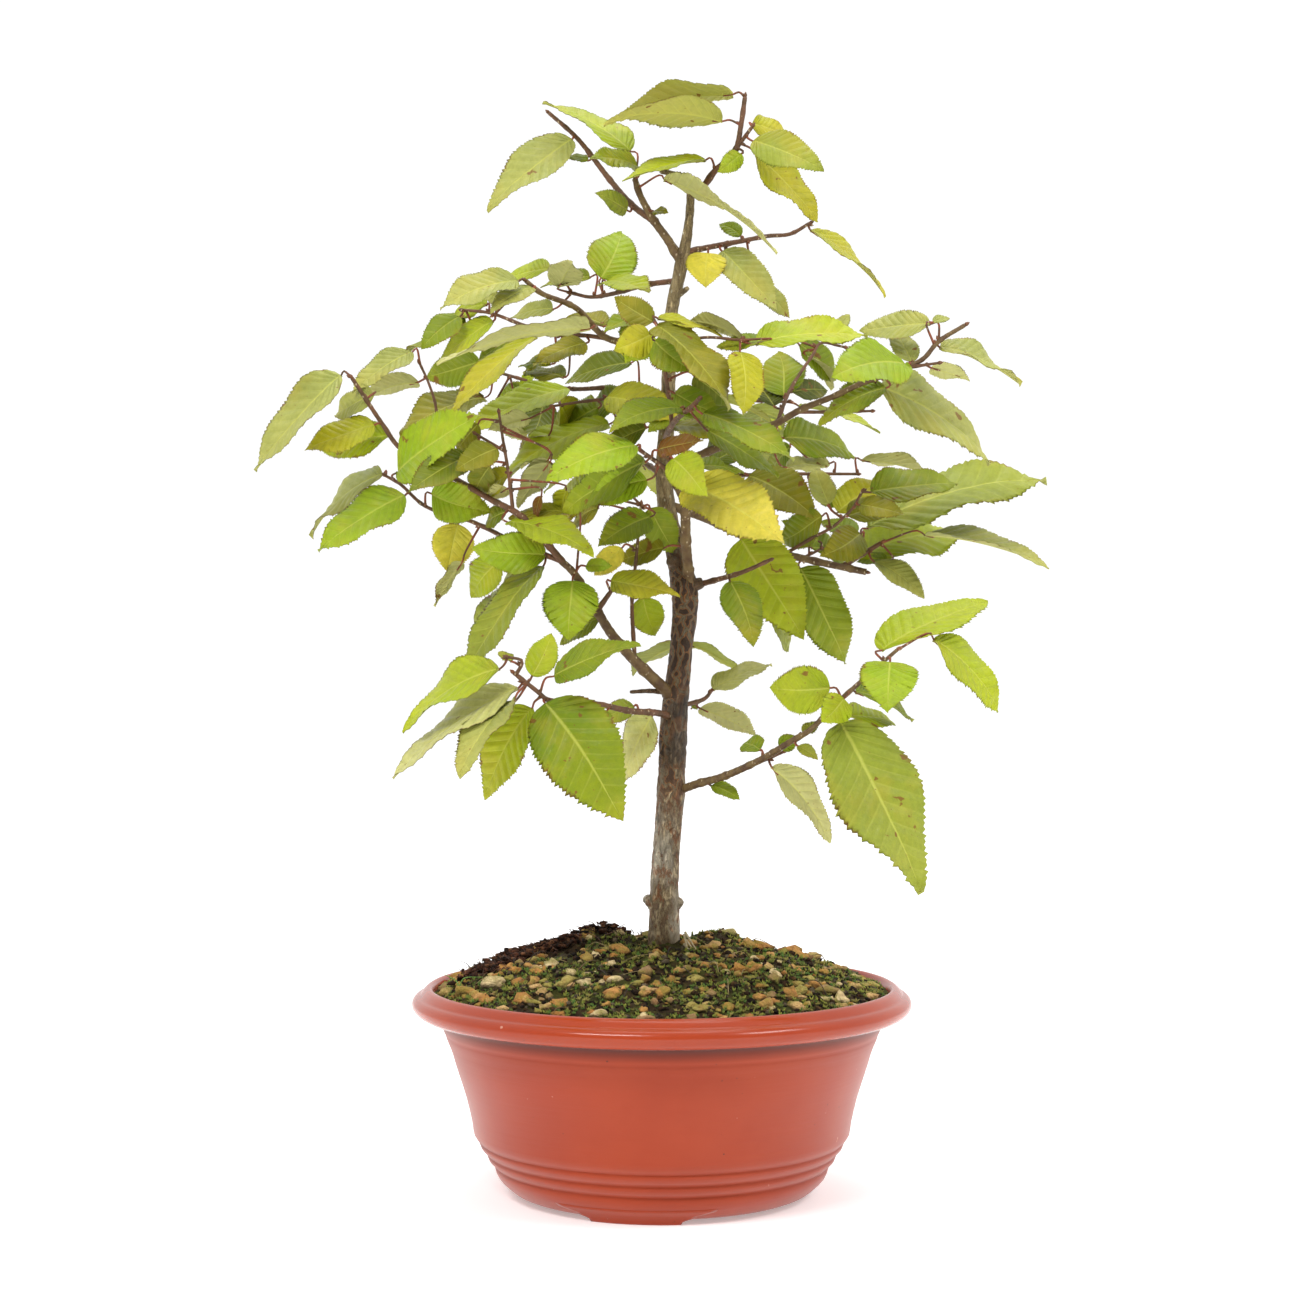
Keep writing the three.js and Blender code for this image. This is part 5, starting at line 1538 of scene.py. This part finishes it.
# %% Branches at the front, and two small twigs
BRANCHES |= {
    "branch_front": {
        "stems": [
            ([(666, 440, 2), (668, 432, -16), (676, 420, -34), (690, 408, -50), (700, 398, -62)], (1.4, 0.8)),
            ([(672, 424, -28), (668, 390, -36), (662, 352, -42), (660, 330, -46)], (0.9, 0.6)),
            ([(662, 352, -42), (700, 338, -46), (740, 340, -52)], (0.7, 0.5)),
        ],
        "leaves": [
            (703, 414, 795, 457, 28, "green", {"depth": -14}),
            (708, 431, 779, 477, 30, "green", {"depth": 10}),
            (680, 408, 609, 429, 26, "green", {"depth": -18}),
            (670, 391, 722, 416, 32, "green", {"depth": -10}),
            (694, 376, 728, 406, 28, "deep_and_shaded", {"depth": 12}),
            (655, 341, 692, 371, 38, "green", {"depth": -8}),
            (657, 326, 732, 406, 34, "olive", {"depth": -24}),
            (740, 352, 743, 415, 36, "gold", {"depth": -14}),
            (756, 344, 868, 334, 26, "lime", {"depth": 6}),
            (656, 332, 614, 350, 34, "gold", {"depth": -4}),
            (653, 322, 614, 297, 28, "olive", {"depth": 8}),
            (658, 318, 724, 336, 9, "gold", {"depth": 8}),
            (745, 340, 690, 320, 15, "pale", {"under": True, "depth": 18}),
            (766, 341, 716, 346, 14, "green", {"depth": 10}),
        ],
    },
    "stem_front": {
        "stems": [
            ([(690, 588, -3), (686, 545, -16), (684, 500, -32), (677, 484, -38)], (2.2, 1.9)),
            ([(680, 490, -36), (674, 476, -44), (640, 450, -54)], (1.3, 0.7)),
            ([(679, 482, -42), (670, 462, -60), (664, 456, -70)], (0.7, 0.5)),
        ],
        "leaves": [
            (645, 462, 561, 511, 40, "green", {"depth": 20}),
            (636, 446, 546, 479, 40, "bright", {"depth": -16}),
            (687, 486, 783, 541, 58, "yellow", {"depth": -34}),
            (673, 459, 706, 496, 40, "lime", {"depth": -16}),
            (658, 450, 703, 440, 20, "dry", {"depth": -14}),
            (647, 480, 586, 505, 34, "bright", {"depth": 8}),
            (664, 548, 620, 560, 24, "olive", {"depth": 14}),
        ],
    },
    "twig_small_right": {
        "stems": [
            ([(676, 707, 2), (704, 699, 13), (712, 690, 20)], (1.1, 0.7)),
        ],
        "leaves": [
            (708, 692, 771, 662, 20, "pale", {"depth": 10}),
            (700, 708, 757, 735, 22, "pale", {"under": True, "depth": 12}),
            (700, 700, 692, 708, 8, "sage", {"depth": 4}),
        ],
    },
    "twig_knot": {
        "stems": [
            ([(690, 587, 2), (712, 581, -8), (743, 572, -24), (770, 560, -32)], (1.3, 0.7)),
        ],
        "leaves": [
            (728, 576, 755, 646, 38, "green", {"depth": -8}),
        ],
    },
}
print("leaves on the branches:", sum(len(branch["leaves"]) for branch in BRANCHES.values()))

# %% [markdown]
# Three branches stand behind the trunk, where the crown hides them. They follow the habit of the
# species instead: leaves in two ranks along a gently arching stem, each a little different in
# length and direction, by a seeded draw.

# %% Leaves of the hidden branches
HIDDEN_BRANCHES = {
    "branch_back_left": (7, [(664, 476, 2), (640, 460, 32), (600, 436, 54), (570, 412, 62)], 5),
    "branch_back_right": (19, [(668, 395, 3), (700, 392, 34), (745, 400, 60), (790, 402, 72)], 5),
    "branch_back_low": (23, [(682, 640, 0), (676, 636, 22), (690, 640, 46)], 2),
}
HIDDEN_LENGTH = (30, 40)
HIDDEN_DROOP = 0.35
HIDDEN_STALK = 6
HIDDEN_WIDTH = (1.4, 0.6)
DRAW_STEP = 16807
DRAW_RANGE = 2147483647


def seeded_draw(seed):
    """The same draw as the frame's solids use: a short chain of whole numbers."""
    state = seed
    while True:
        state = state * DRAW_STEP % DRAW_RANGE
        yield state / DRAW_RANGE


def ranked_leaves(path, seed, count):
    """Leaves in two ranks along the outer part of a stem, the same as on the frame's solid."""
    draws = seeded_draw(seed)
    up = Vector((0, 0, 1))
    hung = []
    for step in range(count):
        along = 0.42 + 0.56 * step / (count - 1)
        root, ahead = path.at(along), path.ahead(along)
        beside = ahead.cross(up).normalized()
        rank = 1 if step % 2 == 0 else -1
        length = HIDDEN_LENGTH[0] + (HIDDEN_LENGTH[1] - HIDDEN_LENGTH[0]) * next(draws)
        way = ahead * (0.5 + 0.3 * next(draws)) + beside * rank * 0.8
        way.z = -HIDDEN_DROOP - 0.3 * next(draws)
        way.normalize()
        base = root + way * HIDDEN_STALK
        upper = (up - way * up.dot(way)).normalized()
        hung.append({"root": root, "base": base, "tip": base + way * length, "upper": upper,
                     "width": BLADE_RATIO * length, "tint": "green" if step % 2 else "lime"})
    return hung


print("hidden branches:", ", ".join(HIDDEN_BRANCHES))

# %% [markdown]
# Young twigs are smooth and reddish brown, swell a little at each node, and end in a bud. A bud
# also sits where each leaf's stalk leaves the twig: a pointed scaly egg about 2 mm long. The stalk
# itself is a thin pink-red tube that runs on into the leaf's midrib.

# %% Twigs, buds and stalks
TWIG_STEP = 1.3
TWIG_SIDES = 10
NODE_EVERY = 15.0
NODE_SWELLING = 0.22
NODE_WIDE = 1.1
BUD_RINGS = 7
BUD_SIDES = 8
STALK_RINGS = 12
STALK_SIDES = 8
STALK_BEND = 3.2
STALK_TINT = colour(142, 70, 44)
TWIG_TINT = colour(112, 74, 50)
YOUNG_WOOD_TINT = colour(116, 94, 56)
BUD_TINT = colour(126, 76, 46)


def twig_shape(path, radius, draw):
    """A twig that narrows to its end, with a swelling at each node and a faint ripple."""
    rings = max(8, round(path.length / TWIG_STEP))
    first_node = draw.uniform(0.3, 1.0) * NODE_EVERY
    ripple = draw.random() * math.tau

    def width(ring, angle):
        far = path.length * ring / rings
        thick = radius[0] + (radius[1] - radius[0]) * far / path.length
        from_node = abs((far - first_node + NODE_EVERY / 2) % NODE_EVERY - NODE_EVERY / 2)
        swelling = NODE_SWELLING * math.exp(-(from_node / NODE_WIDE) ** 2)
        return thick * (1 + swelling + 0.05 * math.sin(far * 1.9 + 2 * angle + ripple))

    return closed_tube(path, rings, TWIG_SIDES, width)


def bud_shape(foot, way, size):
    """A pointed egg of scales."""
    path = Path([foot, foot + way * size * 0.5, foot + way * size])
    shares = [ring / BUD_RINGS for ring in range(BUD_RINGS + 1)]
    return roll_tube(path, shares, BUD_SIDES,
                     lambda ring, angle: 0.3 * size * math.sin(math.pi * shares[ring] ** 0.75)
                     * (1 + 0.08 * math.sin(ring * 2.6 + angle * 2)))


def stalk_shape(leaf):
    """The stalk, bent from the twig into the line of the blade, and on into its midrib."""
    ahead = (leaf["tip"] - leaf["base"]).normalized()
    reach = (leaf["base"] - leaf["root"]).length
    bend = leaf["base"] - ahead * min(0.4 * reach, STALK_BEND) + leaf["upper"] * 0.06 * reach
    end = leaf["base"] + ahead * 4 - leaf["upper"] * 0.1
    path = Path([leaf["root"], bend, leaf["base"] - leaf["upper"] * 0.15, end])
    return closed_tube(path, STALK_RINGS, STALK_SIDES, lambda ring, angle: 0.522 - 0.018 * ring)


print("a node every", NODE_EVERY, "mm swells a twig by", round(100 * NODE_SWELLING), "per cent")

# %% [markdown]
# ## Finishes of twigs and leaves
# A leaf is not one green. The blade turns towards its second tint near the tip, is mottled and
# clouded, a touch paler along its veins, and old specks and margins go brown. Its map runs across
# the blade and along the veins, so the veins are drawn exactly where the pleats are. The upper face
# is a little glossy, with sunk veins. The lower one is paler and matt, with raised veins.

# %% The finish of the twigs
twig_bark, tree, shader = new_finish("twig_bark", 0.6, Specular_IOR_Level=0.4)
places = object_places(tree)
twig_colour = mixed(tree, cloudy(tree, places, 240, detail=4), attribute(tree, "tint"), colour(84, 60, 36))
twig_colour = stained(tree, twig_colour, lenticels(tree, places, 520), 0.55, colour(206, 188, 152))
tree.links.new(twig_colour, shader.inputs["Base Color"])
bump(tree, shader, cloudy(tree, places, 900, detail=3), 0.0003, 0.6)
print("nodes in the twigs' finish:", len(tree.nodes))

# %% What is drawn on a leaf
BRIGHT_RIB = 0.4


def vein_pattern(tree, from_rib, down_blade):
    """The side veins, which fade towards the edge, and the midrib, each from 0 to 1."""
    turn = combine(tree, "FRACT", times(tree, down_blade, float(LEAF_VEINS)))
    from_vein = combine(tree, "MINIMUM", turn, combine(tree, "SUBTRACT", 1.0, turn))
    vein = times(tree, spread(tree, from_vein, 0.02, 0.09, 1.0, 0.0),
                 spread(tree, from_rib, 0.1, 0.5, 1.0, 0.5))
    return vein, spread(tree, from_rib, 0.008, 0.028, 1.0, 0.0)


def blade_colour(tree, places, down_blade):
    """The two tints of a leaf, mottled, shaded and warmed in patches of three sizes."""
    clouds = cloudy(tree, places, 60, detail=5, roughness=0.65)
    towards_tip = combine(tree, "ADD", spread(tree, down_blade, 0.3, 0.95, 0.0, 0.6),
                          times(tree, clouds, 0.5))
    blade = mixed(tree, towards_tip, attribute(tree, "tint"), attribute(tree, "tip"))
    mottle = cloudy(tree, places, 420, detail=5, roughness=0.7, high=0.7)
    blade = stained(tree, blade, mottle, 0.34, colour(98, 108, 30))
    shade = cloudy(tree, places, 26, low=0.5, high=0.7)
    blade = stained(tree, blade, shade, 0.3, colour(92, 98, 26))
    warmth = cloudy(tree, places, 44, detail=4, roughness=0.65, low=0.5, high=0.7)
    return stained(tree, blade, warmth, 0.4, colour(178, 160, 52))


def dry_marks(tree, places, from_rib):
    """Brown margins here and there, old specks and fine dots, from 0 to 1."""
    uneven = combine(tree, "ADD", from_rib, times(tree, cloudy(tree, places, 150), 0.06))
    margin = times(tree, spread(tree, uneven, 0.5, 0.545), cloudy(tree, places, 30, low=0.4, high=0.55))
    specks = cloudy(tree, places, 150, low=0.685, high=0.705)
    dots = cloudy(tree, places, 800, detail=1, low=0.74, high=0.78)
    marks = times(tree, combine(tree, "MAXIMUM", margin, specks), 0.8)
    return combine(tree, "MAXIMUM", marks, times(tree, dots, 0.6))


print("veins drawn on each side of a leaf:", LEAF_VEINS)


# %% The finish of a leaf's faces
def leaf_finish(name, roughness, gloss_level, vein_glow, paleness, vein_relief):
    """The finish of one face of the leaves; its veins stand out, or are sunk if relief is below 0."""
    finish, tree, shader = new_finish(name, roughness, Specular_IOR_Level=gloss_level)
    places = object_places(tree)
    sheet = add_node(tree, "ShaderNodeUVMap", uv_map="UVMap").outputs["UV"]
    from_rib = combine(tree, "ABSOLUTE", combine(tree, "SUBTRACT", part_of(tree, sheet, "X"), 0.5))
    down_blade = part_of(tree, sheet, "Y")
    vein, rib = vein_pattern(tree, from_rib, down_blade)
    blade = mixed(tree, paleness, blade_colour(tree, places, down_blade), colour(188, 186, 134))
    lines = combine(tree, "MAXIMUM", times(tree, vein, vein_glow), times(tree, rib, BRIGHT_RIB))
    blade = mixed(tree, lines, blade, colour(206, 206, 96))
    blade = mixed(tree, dry_marks(tree, places, from_rib), blade, colour(118, 70, 30))
    tree.links.new(blade, shader.inputs["Base Color"])
    gloss = spread(tree, cloudy(tree, places, 260, detail=4), 0.0, 1.0, roughness - 0.08, roughness + 0.1)
    tree.links.new(gloss, shader.inputs["Roughness"])
    net = add_node(tree, "ShaderNodeTexVoronoi", {"Scale": 900.0}, {"Vector": places},
                   feature="DISTANCE_TO_EDGE").outputs["Distance"]
    raised = times(tree, combine(tree, "MAXIMUM", vein, rib), vein_relief)
    bump(tree, shader, combine(tree, "ADD", raised, spread(tree, net, 0.0, 0.2, 0.0, 0.3)), 0.0003, 0.5)
    return finish


leaf_upper = leaf_finish("leaf_upper_face", roughness=0.42, gloss_level=0.2, vein_glow=0.12, paleness=0.0,
                         vein_relief=-0.6)
leaf_lower = leaf_finish("leaf_lower_face", roughness=0.7, gloss_level=0.1, vein_glow=0.3, paleness=0.34,
                         vein_relief=1.0)
print("finishes:", leaf_upper.name, leaf_lower.name)

# %% [markdown]
# Now every branch grows: its twigs, its leaves hung from them, a stalk and a bud to each leaf, and
# a bud at the end of each twig. Wood and leaves are two pieces, so each has its own finish.

# %% Grow the branches
LEAF_SEED = 11
STOUT_FROM = 1.5
END_BUD = 2.6
SIDE_BUD = 2.2
draw = random.Random(LEAF_SEED)


def grow_branch(name, stems, hang_all):
    """One branch as two pieces, its wood and its leaves; hang_all gives its leaves from its paths."""
    paths = [(Path([place(*at) for at in line]), radius) for line, radius in stems]
    wood, leaves = new_piece(), new_piece()
    for path, radius in paths:
        tint = YOUNG_WOOD_TINT if radius[0] > STOUT_FROM else TWIG_TINT
        add_shape(wood, twig_shape(path, radius, draw), {"tint": tint})
        end, ahead = path.at(1.0), path.ahead(1.0)
        add_shape(wood, bud_shape(end - ahead * 0.4, ahead, END_BUD), {"tint": BUD_TINT})
    for leaf in hang_all([path for path, _ in paths]):
        base_tint, tip_tint = LEAF_TINTS[leaf["tint"]]
        add_shape(leaves, shape_leaf(leaf, draw), {"tint": base_tint, "tip": tip_tint})
        add_shape(wood, stalk_shape(leaf), {"tint": STALK_TINT})
        way = (leaf["base"] - leaf["root"]).normalized()
        side = (way + leaf["upper"] * 0.8).normalized()
        add_shape(wood, bud_shape(leaf["root"] + side * 0.3, side, SIDE_BUD), {"tint": BUD_TINT})
    finish_piece(wood, name + "_wood", [twig_bark], [name])
    finish_piece(leaves, name + "_leaves", [leaf_upper, leaf_lower], [name])


for name, branch in BRANCHES.items():
    grow_branch(name, branch["stems"], lambda paths: [hang_leaf(paths, leaf) for leaf in branch["leaves"]])
for name, (seed, line, count) in HIDDEN_BRANCHES.items():
    grow_branch(name, [(line, HIDDEN_WIDTH)], lambda paths: ranked_leaves(paths[0], seed, count))

# %% [markdown]
# ## Floor and light
# The plant stood on white, lit from all round and above, while the room behind the camera was
# darker. A large white floor runs out past the frame. The surroundings are white too, but fade
# towards the camera's side, so faces turned to the front are deeper in colour than those turned
# away. Two narrow soft boxes above the front give the rim and the leaves their highlights, and a
# wide one just behind the plant lights the crown from above.

# %% Floor
FLOOR_REACH = 6.0
FLOOR_GLOW = 0.32
FLOOR_WHITE = (0.9, 0.9, 0.9, 1)
PURE_WHITE = (1, 1, 1, 1)
floor_shape = bmesh.new()
bmesh.ops.create_grid(floor_shape, x_segments=1, y_segments=1, size=FLOOR_REACH)
floor_mesh = bpy.data.meshes.new("floor")
floor_shape.to_mesh(floor_mesh)
floor_shape.free()
floor_finish, tree, shader = new_finish("pale_floor", 0.9, Specular_IOR_Level=0.0)
shader.inputs["Base Color"].default_value = FLOOR_WHITE
shader.inputs["Emission Color"].default_value = PURE_WHITE
shader.inputs["Emission Strength"].default_value = FLOOR_GLOW
floor_mesh.materials.append(floor_finish)
floor = bpy.data.objects.new("floor", floor_mesh)
bpy.context.collection.objects.link(floor)
print("the floor is", 2 * FLOOR_REACH, "m wide")

# %% The surroundings
LIGHT_SIDE = 1.06
DARK_SIDE = 0.42
FADE = (-0.75, 0.1)
world = bpy.data.worlds.new("white_surroundings")
world.use_nodes = True
tree = world.node_tree
backdrop = tree.nodes["Background"]
facing = part_of(tree, add_node(tree, "ShaderNodeTexCoord").outputs["Generated"], "Y")
tree.links.new(spread(tree, facing, *FADE, DARK_SIDE, LIGHT_SIDE), backdrop.inputs["Strength"])
backdrop.inputs["Color"].default_value = PURE_WHITE
bpy.context.scene.world = world
bpy.context.scene.view_settings.view_transform = "Standard"
print("the surroundings shine from", DARK_SIDE, "at the front to", LIGHT_SIDE, "behind")

# %% The soft boxes
LIGHT_AIM = Vector((0, 0, 0.2))
SOFT_LIGHTS = [
    ("box_left", (-0.62, -1.15, 1.4), (0.8, 0.26), 15),
    ("box_right", (1.15, -0.7, 1.35), (0.7, 0.26), 10),
    ("above", (0.1, 0.3, 1.8), (1.2, 1.2), 12),
]


def soft_light(name, stand, size, power):
    """A rectangular lamp that shines at the plant."""
    data = bpy.data.lights.new(name, "AREA")
    data.shape = "RECTANGLE"
    data.energy = power
    data.size, data.size_y = size
    light = bpy.data.objects.new(name, data)
    light.location = stand
    light.rotation_euler = (LIGHT_AIM - Vector(stand)).to_track_quat("-Z", "Y").to_euler()
    bpy.context.collection.objects.link(light)


for soft_box in SOFT_LIGHTS:
    soft_light(*soft_box)
print("soft boxes:", len(SOFT_LIGHTS))
